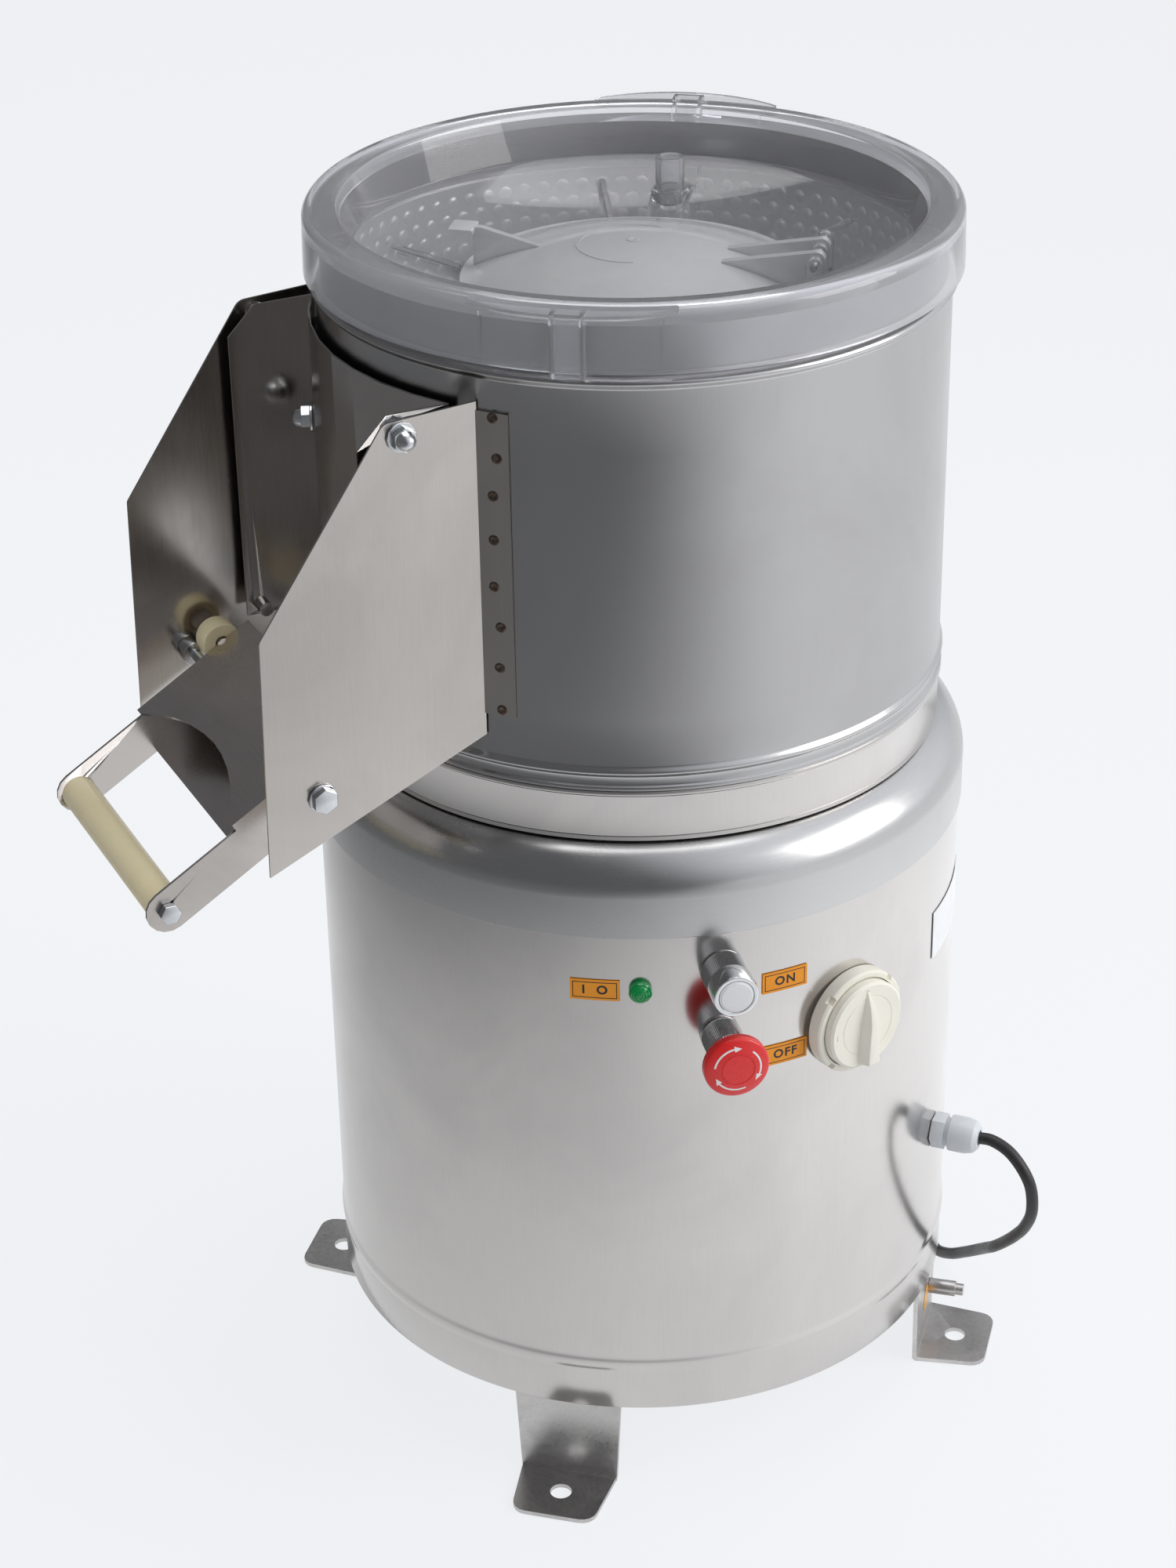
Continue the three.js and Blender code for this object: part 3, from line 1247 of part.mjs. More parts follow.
function tube(path, radius, sides) {
  const positions = [];
  const index = [];
  const up = new THREE.Vector3(0, 0, 1);
  path.forEach((point, i) => {
    const ahead = path[Math.min(i + 1, path.length - 1)].clone().sub(path[Math.max(i - 1, 0)]).normalize();
    if (i === 0) ahead.set(0, 1, 0);
    if (i === path.length - 1) ahead.set(1, 0, 0);
    const side = ahead.clone().cross(up).normalize();
    const above = side.clone().cross(ahead);
    for (let k = 0; k < sides; k += 1) {
      const angle = turn * k / sides;
      const spoke = side.clone().multiplyScalar(Math.cos(angle)).addScaledVector(above, Math.sin(angle));
      positions.push(...point.clone().addScaledVector(spoke, radius).toArray());
      if (i === 0) continue;
      const [a, b] = [i * sides + k, i * sides + (k + 1) % sides];
      index.push(a - sides, b - sides, b, a - sides, b, a);
    }
  });
  const last = (path.length - 1) * sides;
  for (let k = 1; k < sides - 1; k += 1) {
    index.push(0, k + 1, k, last, last + k, last + k + 1);
  }
  const geometry = new THREE.BufferGeometry();
  geometry.setAttribute('position', new THREE.BufferAttribute(new Float32Array(positions), 3));
  geometry.setIndex(index);
  return geometry;
}
function leastGap(path, apart) {
  let least = Infinity;
  path.forEach((point, i) => {
    for (let k = i + apart; k < path.length; k += 1) least = Math.min(least, point.distanceTo(path[k]));
  });
  return least - cordDiameter;
}
console.log(`least gap of the coil to itself: ${leastGap(coilPath, coilStepsPerTurn / 2).toFixed(2)} mm`);
add('cord_coil', tube(coilPath, cordRadius, coilSides), rubber, null, cordGroup);

// Mains cord: from the gland down to the floor and back to the coil
const glandOut = polar(1, gland.azimuth, 0);
const cordStart = polar(housingRadius + gland.length + seatGap, gland.azimuth, gland.z);
const cordEnd = coilStart.clone().add(new THREE.Vector3(0, -seatGap, 0));
const cordRoute = [
  cordStart,
  cordStart.clone().addScaledVector(glandOut, cordDiameter),
  ...cordWaypoints.map(([x, y, z]) => new THREE.Vector3(x, y, z)),
  cordEnd.clone().add(new THREE.Vector3(0, -cordDiameter, 0)),
  cordEnd,
];
const cordCurve = new THREE.CatmullRomCurve3(cordRoute, false, 'centripetal');
const cordShape = new THREE.Shape(Array.from({ length: cordSides }, (_, i) => {
  const angle = turn * i / cordSides;
  return new THREE.Vector2(cordRadius * Math.cos(angle), cordRadius * Math.sin(angle));
}));
const cord = new THREE.ExtrudeGeometry(cordShape, { steps: cordSteps, extrudePath: cordCurve, bevelEnabled: false });
add('mains_cord', cord, rubber, null, cordGroup);

// Plug: lies on the floor at the end of the coil
const plugFrame = new THREE.Matrix4().makeRotationY(turn / 4)
  .setPosition(coilEnd.x + seatGap, coilEnd.y, coilEnd.z);
const plugFaceZ = plugSleeveLength + plugBodyLength;
const plugPins = [-1, 1].map((side) => {
  const pin = rod(plugPinRadius, plugPinLength + plugFaceDepth, 12);
  return shifted(pin, 0, side * plugPinSpacing / 2, plugFaceZ - plugFaceDepth);
});
add('mains_plug', joined(
  revolved([
    [0, 0],
    [plugSleeveRadius, 0],
    [plugSleeveRadius + plugFaceDepth, plugSleeveLength],
    [plugBodyRadius, plugSleeveLength + plugFaceDepth],
    [plugBodyRadius, plugFaceZ],
    [0, plugFaceZ],
  ], midSteps),
  ...plugPins,
), rubber, plugFrame, cordGroup);

// The whole object stands on z = 0, and its box without the cord is centred on x = y = 0
const box = new THREE.Box3().setFromObject(objectGroup);
const middle = box.getCenter(new THREE.Vector3());
const peeler = new THREE.Group();
peeler.name = 'potato_peeler';
[...objectGroup.children, ...cordGroup.children].forEach((mesh) => {
  mesh.geometry.translate(-middle.x, -middle.y, 0);
  peeler.add(mesh);
});

export default peeler;
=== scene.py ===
import math

import bmesh
import bpy
from mathutils import Matrix, Vector


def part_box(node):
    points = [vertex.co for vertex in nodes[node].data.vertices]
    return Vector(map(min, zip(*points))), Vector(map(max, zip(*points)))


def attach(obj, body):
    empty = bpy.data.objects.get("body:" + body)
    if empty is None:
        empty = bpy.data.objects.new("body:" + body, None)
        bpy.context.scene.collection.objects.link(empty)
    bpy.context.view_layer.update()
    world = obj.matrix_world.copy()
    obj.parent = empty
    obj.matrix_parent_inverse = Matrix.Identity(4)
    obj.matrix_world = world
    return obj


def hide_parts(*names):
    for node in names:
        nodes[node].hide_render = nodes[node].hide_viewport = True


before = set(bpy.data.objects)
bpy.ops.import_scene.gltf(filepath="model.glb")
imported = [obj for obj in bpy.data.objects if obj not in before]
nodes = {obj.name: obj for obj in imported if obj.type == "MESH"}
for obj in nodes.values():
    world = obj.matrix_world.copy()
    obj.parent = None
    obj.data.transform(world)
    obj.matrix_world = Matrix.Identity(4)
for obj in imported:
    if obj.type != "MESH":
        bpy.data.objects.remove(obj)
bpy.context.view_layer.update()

# Camera: a tall studio picture, from above the chute side of the front. Sizes of the machine are in
# millimetres from the drum's axis on the floor, with the controls towards -Y and the chute towards -X;
# to_scene takes them into the model's metres.
shell_low, shell_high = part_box("housing_shell")
machine_middle = ((shell_low[0] + shell_high[0]) / 2, (shell_low[1] + shell_high[1]) / 2, 0)
to_scene = Matrix.Translation(machine_middle) @ Matrix.Scale(0.001, 4)


def placed(name, data):
    """A new object of the scene."""
    thing = bpy.data.objects.new(name, data)
    bpy.context.scene.collection.objects.link(thing)
    return thing


camera_place = Vector((-835.6, -1666.6, 1416.1))
camera_heading = math.radians(26.63)
camera_swing = math.radians(-1.0)
camera_tilt = math.radians(28.43)
camera_roll = math.radians(-0.99)
forward = Vector((
    math.sin(camera_swing) * math.cos(camera_tilt), math.cos(camera_swing) * math.cos(camera_tilt),
    -math.sin(camera_tilt),
))
right = Vector((math.cos(camera_swing), -math.sin(camera_swing), 0))
above = right.cross(forward)
rolled_right = right * math.cos(camera_roll) + above * math.sin(camera_roll)
rolled_above = above * math.cos(camera_roll) - right * math.sin(camera_roll)
turned_camera = Matrix((rolled_right, rolled_above, -forward)).transposed().to_4x4()
camera_data = bpy.data.cameras.new("studio_camera")
camera_data.sensor_fit = "AUTO"
camera_data.sensor_width = 36
camera_data.lens = 4190.9 / 2000 * 36
camera = placed("studio_camera", camera_data)
camera.matrix_world = (
    Matrix.Translation(to_scene @ camera_place) @ Matrix.Rotation(-camera_heading, 4, "Z") @ turned_camera
)
bpy.context.scene.camera = camera
bpy.context.scene.view_settings.view_transform = "Standard"

# Mains cord: an 8 mm black rubber-sheathed flex. It leaves the gland, sags in a loop to the floor, runs back
# along the machine and lies there in a flat coil of two layers, held by a tie, with the plug at its end.
cord_radius = 4.0
gland_azimuth = math.radians(42.5)
gland_out = Vector((math.sin(gland_azimuth), -math.cos(gland_azimuth), 0))
cord_start = gland_out * 236.6 + Vector((0, 0, 186.6))
cord_waypoints = [
    (172.5, -192.1, 181.4), (179.1, -205.3, 164.6), (182.2, -206.1, 142.4), (184.3, -196.4, 122.1),
    (186.3, -182.2, 104.5), (188.5, -166.5, 88.2), (191.7, -150.1, 72.8), (196.5, -133, 58.6),
    (201.4, -116, 44.4), (203.1, -98.3, 30.2), (202.5, -79.9, 16.9), (204, -59.6, 7), (209.7, -37.8, 4.6),
    (212.5, -15.3, 4.5), (212.5, 7.4, 4.4), (210.6, 30.1, 4.4), (206.3, 52.4, 4.4), (201.6, 74.6, 4.4),
    (197.2, 97, 4.4),
]
coil_x, coil_y, coil_radius, coil_pitch, coil_turns = 244.2, 150.4, 51.5, 8.6, 4.25
coil_low, coil_rise, plug_height = 4.3, 8.5, 17.3
coil_lead = 18


def smoothly(value, low, high):
    share = min(1, max(0, (value - low) / (high - low)))
    return share * share * (3 - 2 * share)


def coil_point(turns):
    angle = math.pi - turns * 2 * math.pi
    radius = coil_radius - coil_pitch * min(turns, coil_turns - turns)
    height = coil_low + smoothly(turns, coil_turns / 2 - 0.25, coil_turns / 2 + 0.25) * coil_rise
    height += smoothly(turns, coil_turns - 0.25, coil_turns) * (plug_height - height)
    return Vector((coil_x + radius * math.cos(angle), coil_y + radius * math.sin(angle), height))


def through(points, steps):
    """A smooth line through the points, with the same bends as the solid cord."""
    line = []
    for i in range(len(points) - 1):
        before = points[i - 1] if i else points[0] * 2 - points[1]
        after = points[i + 2] if i + 2 < len(points) else points[-1] * 2 - points[-2]
        here, there = points[i], points[i + 1]
        a, b, c = (math.sqrt((q - p).length) for p, q in ((before, here), (here, there), (there, after)))
        leave = ((here - before) / a - (there - before) / (a + b) + (there - here) / b) * b
        reach = ((there - here) / b - (after - here) / (b + c) + (after - there) / c) * b
        for k in range(steps):
            t = k / steps
            line.append(
                here * (2 * t ** 3 - 3 * t ** 2 + 1) + leave * (t ** 3 - 2 * t ** 2 + t)
                + there * (3 * t ** 2 - 2 * t ** 3) + reach * (t ** 3 - t ** 2)
            )
    return line + [points[-1]]


coil_count = round(coil_turns * 32)
coil_loops = [coil_point(k / 32) for k in range(coil_count + 1)]
coil_start = coil_loops[0] - Vector((0, 2 * cord_radius, 0))
cord_points = [cord_start, cord_start + gland_out * 2 * cord_radius]
cord_points += [Vector(point) for point in cord_waypoints]
cord_points += [coil_start - Vector((0, 2 * cord_radius + 0.3, 0))]
cord_line = through([*cord_points, coil_start], 6) + coil_loops + [coil_loops[-1] + Vector((coil_lead, 0, 0))]
cord_line = [to_scene @ point for point in cord_line]

cord_curve = bpy.data.curves.new("mains_flex", "CURVE")
cord_curve.dimensions = "3D"
cord_curve.bevel_depth = cord_radius * 0.001
cord_curve.bevel_resolution = 6
cord_curve.use_fill_caps = True
cord_spline = cord_curve.splines.new("POLY")
cord_spline.points.add(len(cord_line) - 1)
for slot, point in zip(cord_spline.points, cord_line):
    slot.co = (*point, 1)
cord_spline.use_smooth = True
flex = placed("mains_flex", cord_curve)

# Studio: a pale floor that fades into a pale backdrop, one broad soft light to the right of the camera, a
# weaker one to its left and one overhead. In reflections the floor glows with painted light, brightest to the
# right and in a painted pool near the machine, which the steel shows in its reflections.
pale = (0.888, 0.905, 0.927, 1)


def wired(tree, kind, inputs=(), **settings):
    """Adds a shader node, sets what it is told, and links or sets its sockets."""
    node = tree.nodes.new(kind)
    for name, value in settings.items():
        setattr(node, name, value)
    for name, value in dict(inputs).items():
        if isinstance(value, bpy.types.NodeSocket):
            tree.links.new(value, node.inputs[name])
        else:
            node.inputs[name].default_value = value
    return node


def reckoned(tree, operation, *values):
    """A math node of a tree, with values or outputs as its inputs in order."""
    return wired(tree, "ShaderNodeMath", dict(enumerate(values)), operation=operation)


def cleared(owner):
    """The empty node tree of a material or a world."""
    owner.use_nodes = True
    owner.node_tree.nodes.clear()
    return owner.node_tree


def direct_rays(tree, paths):
    """1 for rays that come straight from the camera, or through clear plastic with no mirror before it."""
    unmirrored = reckoned(tree, "LESS_THAN", paths.outputs["Glossy Depth"], 0.5)
    let_through = reckoned(tree, "MULTIPLY", paths.outputs["Is Transmission Ray"], unmirrored.outputs[0])
    return reckoned(tree, "MAXIMUM", paths.outputs["Is Camera Ray"], let_through.outputs[0])


floor_shape = bmesh.new()
for corner in ((-15, -15), (15, -15), (15, 15), (-15, 15)):
    floor_shape.verts.new((*corner, -0.0003))
floor_shape.faces.new(floor_shape.verts)
floor_mesh = bpy.data.meshes.new("studio_floor")
floor_shape.to_mesh(floor_mesh)
floor_shape.free()
floor = placed("studio_floor", floor_mesh)

floor_paint = bpy.data.materials.new("studio_floor")
tree = cleared(floor_paint)
place = wired(tree, "ShaderNodeTexCoord")
sides = wired(tree, "ShaderNodeSeparateXYZ", {0: place.outputs["Object"]})
# Painted light on the floor, seen only in reflections: brighter to the right, with a painted pool of light
# near the machine.
painted_side_light = wired(tree, "ShaderNodeMapRange", {
    "Value": sides.outputs["X"], "From Min": -1.0, "From Max": 0.95, "To Min": 0.1, "To Max": 0.98,
}, interpolation_type="SMOOTHSTEP")
away = wired(tree, "ShaderNodeVectorMath", {0: place.outputs["Object"], 1: (0.14, -0.1, 0)},
             operation="DISTANCE")
painted_light_pool = wired(tree, "ShaderNodeMapRange", {
    "Value": away.outputs["Value"], "From Min": 0.6, "From Max": 1.15, "To Min": 0.42, "To Max": 0.0,
}, interpolation_type="SMOOTHSTEP")
painted_glow_level = reckoned(tree, "ADD", painted_side_light.outputs[0], painted_light_pool.outputs[0])
paths = wired(tree, "ShaderNodeLightPath")
matt = wired(tree, "ShaderNodeBsdfDiffuse", {"Color": (0.86, 0.87, 0.88, 1)})
bright = wired(tree, "ShaderNodeEmission", {"Color": (0.925, 0.942, 0.965, 1), "Strength": 1.0})
painted_floor_glow = wired(tree, "ShaderNodeEmission", {"Color": pale, "Strength": painted_glow_level.outputs[0]})
seen = wired(tree, "ShaderNodeMixShader", {0: 0.85, 1: matt.outputs[0], 2: bright.outputs[0]})
mirrored = wired(tree, "ShaderNodeMixShader", {0: 0.85, 1: matt.outputs[0], 2: painted_floor_glow.outputs[0]})
straight = direct_rays(tree, paths)
reflected = reckoned(tree, "MAXIMUM", paths.outputs["Is Glossy Ray"], paths.outputs["Is Transmission Ray"])
first = wired(tree, "ShaderNodeMixShader",
              {0: reflected.outputs[0], 1: matt.outputs[0], 2: mirrored.outputs[0]})
both = wired(tree, "ShaderNodeMixShader", {0: straight.outputs[0], 1: first.outputs[0], 2: seen.outputs[0]})
wired(tree, "ShaderNodeOutputMaterial", {"Surface": both.outputs[0]})
floor_mesh.materials.append(floor_paint)

world = bpy.data.worlds.new("studio")
bpy.context.scene.world = world
tree = cleared(world)
place = wired(tree, "ShaderNodeTexCoord")
towards = wired(tree, "ShaderNodeVectorMath", {
    0: place.outputs["Generated"], 1: (0.84, -0.35, 0.42),
}, operation="DOT_PRODUCT")
level = wired(tree, "ShaderNodeMapRange", {
    "Value": towards.outputs["Value"], "From Min": 0.1, "From Max": 0.85, "To Min": 0.14, "To Max": 1.0,
}, interpolation_type="SMOOTHSTEP")
paths = wired(tree, "ShaderNodeLightPath")
straight = direct_rays(tree, paths)
room = wired(tree, "ShaderNodeBackground", {"Color": (0.93, 0.95, 1, 1), "Strength": level.outputs["Result"]})
backdrop = wired(tree, "ShaderNodeBackground", {"Color": pale, "Strength": 1.0})
both = wired(tree, "ShaderNodeMixShader",
             {0: straight.outputs[0], 1: room.outputs[0], 2: backdrop.outputs[0]})
wired(tree, "ShaderNodeOutputWorld", {"Surface": both.outputs[0]})

for name, spot, size, power, tint in (
    ("soft_right", (1.9, -1.5, 1.5), 1.6, 26, (1, 0.98, 0.95)),
    ("soft_left", (-2.4, -1.2, 1.9), 1.2, 9, (0.93, 0.96, 1)),
    ("soft_top", (0.2, 0.4, 2.9), 1.8, 22, (1, 1, 1)),
):
    lamp_data = bpy.data.lights.new(name, "AREA")
    lamp_data.shape = "SQUARE"
    lamp_data.size = size
    lamp_data.energy = power
    lamp_data.color = tint
    softbox = placed(name, lamp_data)
    softbox.location = spot
    softbox.visible_glossy = name != "soft_left"
    softbox.rotation_euler = (Vector((0.08, 0, 0.45)) - Vector(spot)).to_track_quat("-Z", "Y").to_euler()

# Housing shell: 1.5 mm stainless sheet, rolled and seam-welded, with a bead rolled in near its foot. Its
# surface is brushed, with fine lines, faint smears and cloudy patches where it was wiped.
big_steps = 192
housing_radius = 205
housing_low, housing_high = 63, 441
sheet = 1.5


def detail_group():
    """Colour, roughness and height that vary over a surface: fine grain and soft patches."""
    group = bpy.data.node_groups.new("surface_detail", "ShaderNodeTree")
    faces = group.interface
    for name, kind in (
        ("Grain Place", "Vector"), ("Place", "Vector"), ("Tone", "Color"), ("Stain", "Color"),
        ("Grain Depth", "Float"), ("Patch Depth", "Float"), ("Patch Size", "Float"), ("Roughness", "Float"),
        ("Roughness Spread", "Float"),
    ):
        faces.new_socket(name, in_out="INPUT", socket_type=f"NodeSocket{kind}")
    for name, kind in (("Color", "Color"), ("Roughness", "Float"), ("Height", "Float")):
        faces.new_socket(name, in_out="OUTPUT", socket_type=f"NodeSocket{kind}")
    given = wired(group, "NodeGroupInput").outputs
    fine = wired(group, "ShaderNodeTexNoise", {
        "Vector": given["Grain Place"], "Scale": 1, "Detail": 4, "Roughness": 0.6,
    })
    patches = wired(group, "ShaderNodeTexNoise", {
        "Vector": given["Place"], "Scale": given["Patch Size"], "Detail": 5, "Roughness": 0.58,
        "Distortion": 0.6,
    })
    clear_patch = wired(group, "ShaderNodeMapRange", {
        "Value": patches.outputs[0], "From Min": 0.42, "From Max": 0.68, "To Min": 0, "To Max": 1,
    })
    worn = reckoned(group, "MULTIPLY", clear_patch.outputs[0], given["Patch Depth"])
    stained = wired(group, "ShaderNodeMix", {
        "Factor": worn.outputs[0], 6: given["Tone"], 7: given["Stain"],
    }, data_type="RGBA")
    centred = reckoned(group, "SUBTRACT", fine.outputs[0], 0.5)
    line = reckoned(group, "MULTIPLY", centred.outputs[0], given["Grain Depth"])
    lit = reckoned(group, "ADD", line.outputs[0], 1.0)
    toned = wired(group, "ShaderNodeVectorMath", {0: stained.outputs[2], "Scale": lit.outputs[0]},
                  operation="SCALE")
    spread = reckoned(group, "ADD", clear_patch.outputs[0], fine.outputs[0])
    spread = reckoned(group, "SUBTRACT", spread.outputs[0], 0.8)
    rough = wired(group, "ShaderNodeMath", {
        0: spread.outputs[0], 1: given["Roughness Spread"], 2: given["Roughness"],
    }, operation="MULTIPLY_ADD", use_clamp=True)
    wired(group, "NodeGroupOutput", {
        "Color": toned.outputs[0], "Roughness": rough.outputs[0], "Height": fine.outputs[0],
    })
    return group


surface_detail = detail_group()


def finish(name, tone, stain, roughness, metallic=0.0, grain=(900, 900, 900), grain_depth=0.1,
           patch_depth=0.3, patch_size=9, spread=0.1, bump=0.1, relief=0.00004, **plain):
    """A material: tone with its stain, roughness, and grain lines per metre along x, y and z."""
    paint = bpy.data.materials.new(name)
    tree = cleared(paint)
    place = wired(tree, "ShaderNodeTexCoord")
    stretched = wired(tree, "ShaderNodeMapping", {"Vector": place.outputs["Object"], "Scale": grain})
    detail = wired(tree, "ShaderNodeGroup", node_tree=surface_detail)
    for socket, value in (
        ("Tone", (*tone, 1)), ("Stain", (*stain, 1)), ("Grain Depth", grain_depth),
        ("Patch Depth", patch_depth),
        ("Patch Size", patch_size), ("Roughness", roughness), ("Roughness Spread", spread),
    ):
        detail.inputs[socket].default_value = value
    tree.links.new(stretched.outputs[0], detail.inputs["Grain Place"])
    tree.links.new(place.outputs["Object"], detail.inputs["Place"])
    raised = wired(tree, "ShaderNodeBump", {
        "Strength": bump, "Distance": relief, "Height": detail.outputs["Height"],
    })
    shader = wired(tree, "ShaderNodeBsdfPrincipled", {
        "Base Color": detail.outputs["Color"], "Roughness": detail.outputs["Roughness"], "Metallic": metallic,
        "Normal": raised.outputs[0],
    })
    for socket, value in plain.items():
        shader.inputs[socket.replace("_", " ")].default_value = value
    wired(tree, "ShaderNodeOutputMaterial", {"Surface": shader.outputs[0]})
    return paint


def wall(radius, azimuth, height=0):
    """A place on the round wall: X to the right as seen from outside, Y up, Z away from the drum's axis."""
    angle = math.radians(azimuth)
    across = Vector((math.cos(angle), math.sin(angle), 0))
    out = Vector((math.sin(angle), -math.cos(angle), 0))
    base = Matrix((across, Vector((0, 0, 1)), out)).transposed().to_4x4()
    return Matrix.Translation(out * radius + Vector((0, 0, height))) @ base


def arc(x, y, radius, start, end, count):
    """Points of a circle's arc, in degrees."""
    angles = [math.radians(start + (end - start) * k / count) for k in range(count + 1)]
    return [(x + radius * math.cos(angle), y + radius * math.sin(angle)) for angle in angles]


def swell(radius, low, high, depth, count=12):
    """The outline of a rolled bead that stands proud of a wall."""
    return [
        (radius + depth * (1 - math.cos(2 * math.pi * k / count)) / 2, low + (high - low) * k / count)
        for k in range(count + 1)
    ]


def eased(outline, radius, steps=3, closed=True):
    """The outline with each corner rounded by radius, or less where the sides are short."""
    made = []
    count = len(outline)
    for i, corner in enumerate(outline):
        if not closed and i in (0, count - 1):
            made.append(corner)
            continue
        here = Vector(corner)
        back, ahead = Vector(outline[i - 1]) - here, Vector(outline[(i + 1) % count]) - here
        straightness = back.angle(ahead, 0) if back.length and ahead.length else math.pi
        if straightness > math.radians(160) or straightness < math.radians(8):
            made.append(corner)
            continue
        reach = min(radius / math.tan(straightness / 2), back.length * 0.45, ahead.length * 0.45)
        start, end = here + back.normalized() * reach, here + ahead.normalized() * reach
        for k in range(steps + 1):
            t = k / steps
            made.append(tuple(start * (1 - t) ** 2 + here * 2 * t * (1 - t) + end * t ** 2))
    return made


def turned(outline, place=Matrix(), steps=big_steps, into=None):
    """Turns an outline of (radius, height) round Z. It ends on the axis, or it closes on itself."""
    form = into or bmesh.new()
    rings = []
    for k in range(steps):
        angle = 2 * math.pi * k / steps
        rings.append([
            form.verts.new(place @ Vector((radius * math.cos(angle), radius * math.sin(angle), height)))
            for radius, height in outline
        ])
    open_ended = abs(outline[0][0]) < 1e-6
    count = len(outline) - (1 if open_ended else 0)
    for k in range(steps):
        near, far = rings[k], rings[(k + 1) % steps]
        for i in range(count):
            j = (i + 1) % len(outline)
            form.faces.new((near[i], far[i], far[j], near[j]))
    if open_ended:
        bmesh.ops.remove_doubles(form, verts=form.verts, dist=1e-5)
    return form


def shown(name, form, material, body="machine", replaces=(), angle=34, outward=True,
          plane_width=None):
    """Makes a finished piece from a form in millimetres; faces wider than plane_width are shaded plane."""
    if outward:
        bmesh.ops.recalc_face_normals(form, faces=form.faces)
    form.transform(to_scene)
    mesh = bpy.data.meshes.new(name)
    form.to_mesh(mesh)
    form.free()
    mesh.shade_smooth()
    mesh.set_sharp_from_angle(angle=math.radians(angle))
    mesh.materials.append(material)
    for face in mesh.polygons if plane_width else ():
        corners = [mesh.vertices[corner].co for corner in face.vertices]
        longest = max((a - b).length for a in corners for b in corners)
        if face.area > longest * plane_width * 0.001:
            face.use_smooth = False
    piece = placed(name, mesh)
    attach(piece, body)
    if replaces:
        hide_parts(*replaces)
    return piece


def wear(node, material):
    """Gives a solid of the model its real finish."""
    mesh = nodes[node].data
    mesh.materials.clear()
    mesh.materials.append(material)


satin_steel = finish("satin_steel", (0.66, 0.635, 0.615), (0.55, 0.53, 0.52), 0.19, 1.0,
                     grain=(1500, 1500, 40), patch_depth=0.4, patch_size=7, spread=0.07, bump=0.06)
housing_outline = [
    (housing_radius - sheet, housing_low), (housing_radius - 0.4, housing_low),
    (housing_radius, housing_low + 0.6), *swell(housing_radius, 91, 104, 1.2), (housing_radius, 300),
    (housing_radius, housing_high), (housing_radius - sheet, housing_high),
]
shown("housing_sheet", turned(housing_outline), satin_steel, replaces=["housing_shell"])

# Top cap: a spun stainless cover over the housing. Its shoulder was polished while it turned, so its lines
# run round.
cap_radius = 207
shoulder_radius = 30
cap_hole = 120
cap_skirt, cap_top = 414, 471
shoulder_x = cap_radius - shoulder_radius
spun_steel = finish("spun_steel", (0.60, 0.595, 0.59), (0.52, 0.515, 0.515), 0.25, 1.0, grain=(60, 60, 1800),
                    patch_depth=0.4, spread=0.08, bump=0.08)
cap_outline = [
    (cap_radius - 0.5, cap_skirt), (cap_radius, cap_skirt + 0.5),
    *arc(shoulder_x, cap_top - shoulder_radius, shoulder_radius, 0, 90, 20), (cap_hole, cap_top),
    (cap_hole, cap_top - sheet),
    *arc(shoulder_x, cap_top - shoulder_radius, shoulder_radius - sheet, 90, 0, 20),
    (cap_radius - sheet, cap_skirt),
]
shown("spun_cap", turned(cap_outline), spun_steel, replaces=["top_cap"])

# Feet: four brackets, cut and folded from 3 mm stainless plate and welded inside the shell. Each has a
# tapered upright and a sole with a bolt hole; the fold is rounded and the cut edges are broken.
plate_steel = finish("plate_steel", (0.62, 0.605, 0.59), (0.48, 0.46, 0.45), 0.36, 1.0, grain=(420, 420, 420),
                     grain_depth=0.35, patch_depth=0.7, patch_size=22, spread=0.2, bump=0.25)


def rounded(form, edges, width, segments, profile):
    """Rounds edges of a form."""
    bmesh.ops.bevel(form, geom=edges, offset=width, segments=segments, profile=profile, affect="EDGES",
                    clamp_overlap=True)


def dressed(node, name, material, edge, body="machine", folds=None, fold=0.0, angle=32,
            plane_width=11):
    """A copy of a solid whose cut edges are broken by edge, and whose folds are rounded by fold."""
    form = bmesh.new()
    form.from_mesh(nodes[node].data)
    form.transform(to_scene.inverted())
    bmesh.ops.remove_doubles(form, verts=form.verts, dist=0.002)
    bmesh.ops.dissolve_limit(form, angle_limit=math.radians(0.4), verts=form.verts, edges=form.edges)
    form.edges.ensure_lookup_table()
    if folds:
        bends = [line for line in form.edges if folds(line)]
        rounded(form, bends, fold, 5, 0.5)
    sharp = math.radians(50)
    corners = [line for line in form.edges if len(line.link_faces) == 2 and line.calc_face_angle() > sharp]
    if edge:
        rounded(form, corners, edge, 2, 0.6)
    return shown(name, form, material, body, [node], angle, outward=False, plane_width=plane_width)


foot_sheet, foot_reach, shortest_fold = 3, 199.9, 50
foot_azimuths = {"foot_front": -40.8, "foot_right": 49.2, "foot_back": 139.2, "foot_left": 229.2}
for node, azimuth in foot_azimuths.items():
    lean = wall(0, azimuth).inverted()

    def at_the_fold(line, lean=lean):
        local = [lean @ end.co for end in line.verts]
        across = abs(local[0].x - local[1].x) > shortest_fold
        low = max(end.y for end in local) < foot_sheet + 0.2
        near = max(end.z for end in local) < foot_reach + 1.6
        return across and low and near and len(line.link_faces) == 2

    dressed(node, f"{node}_plate", plate_steel, 0.35, folds=at_the_fold, fold=2.6)

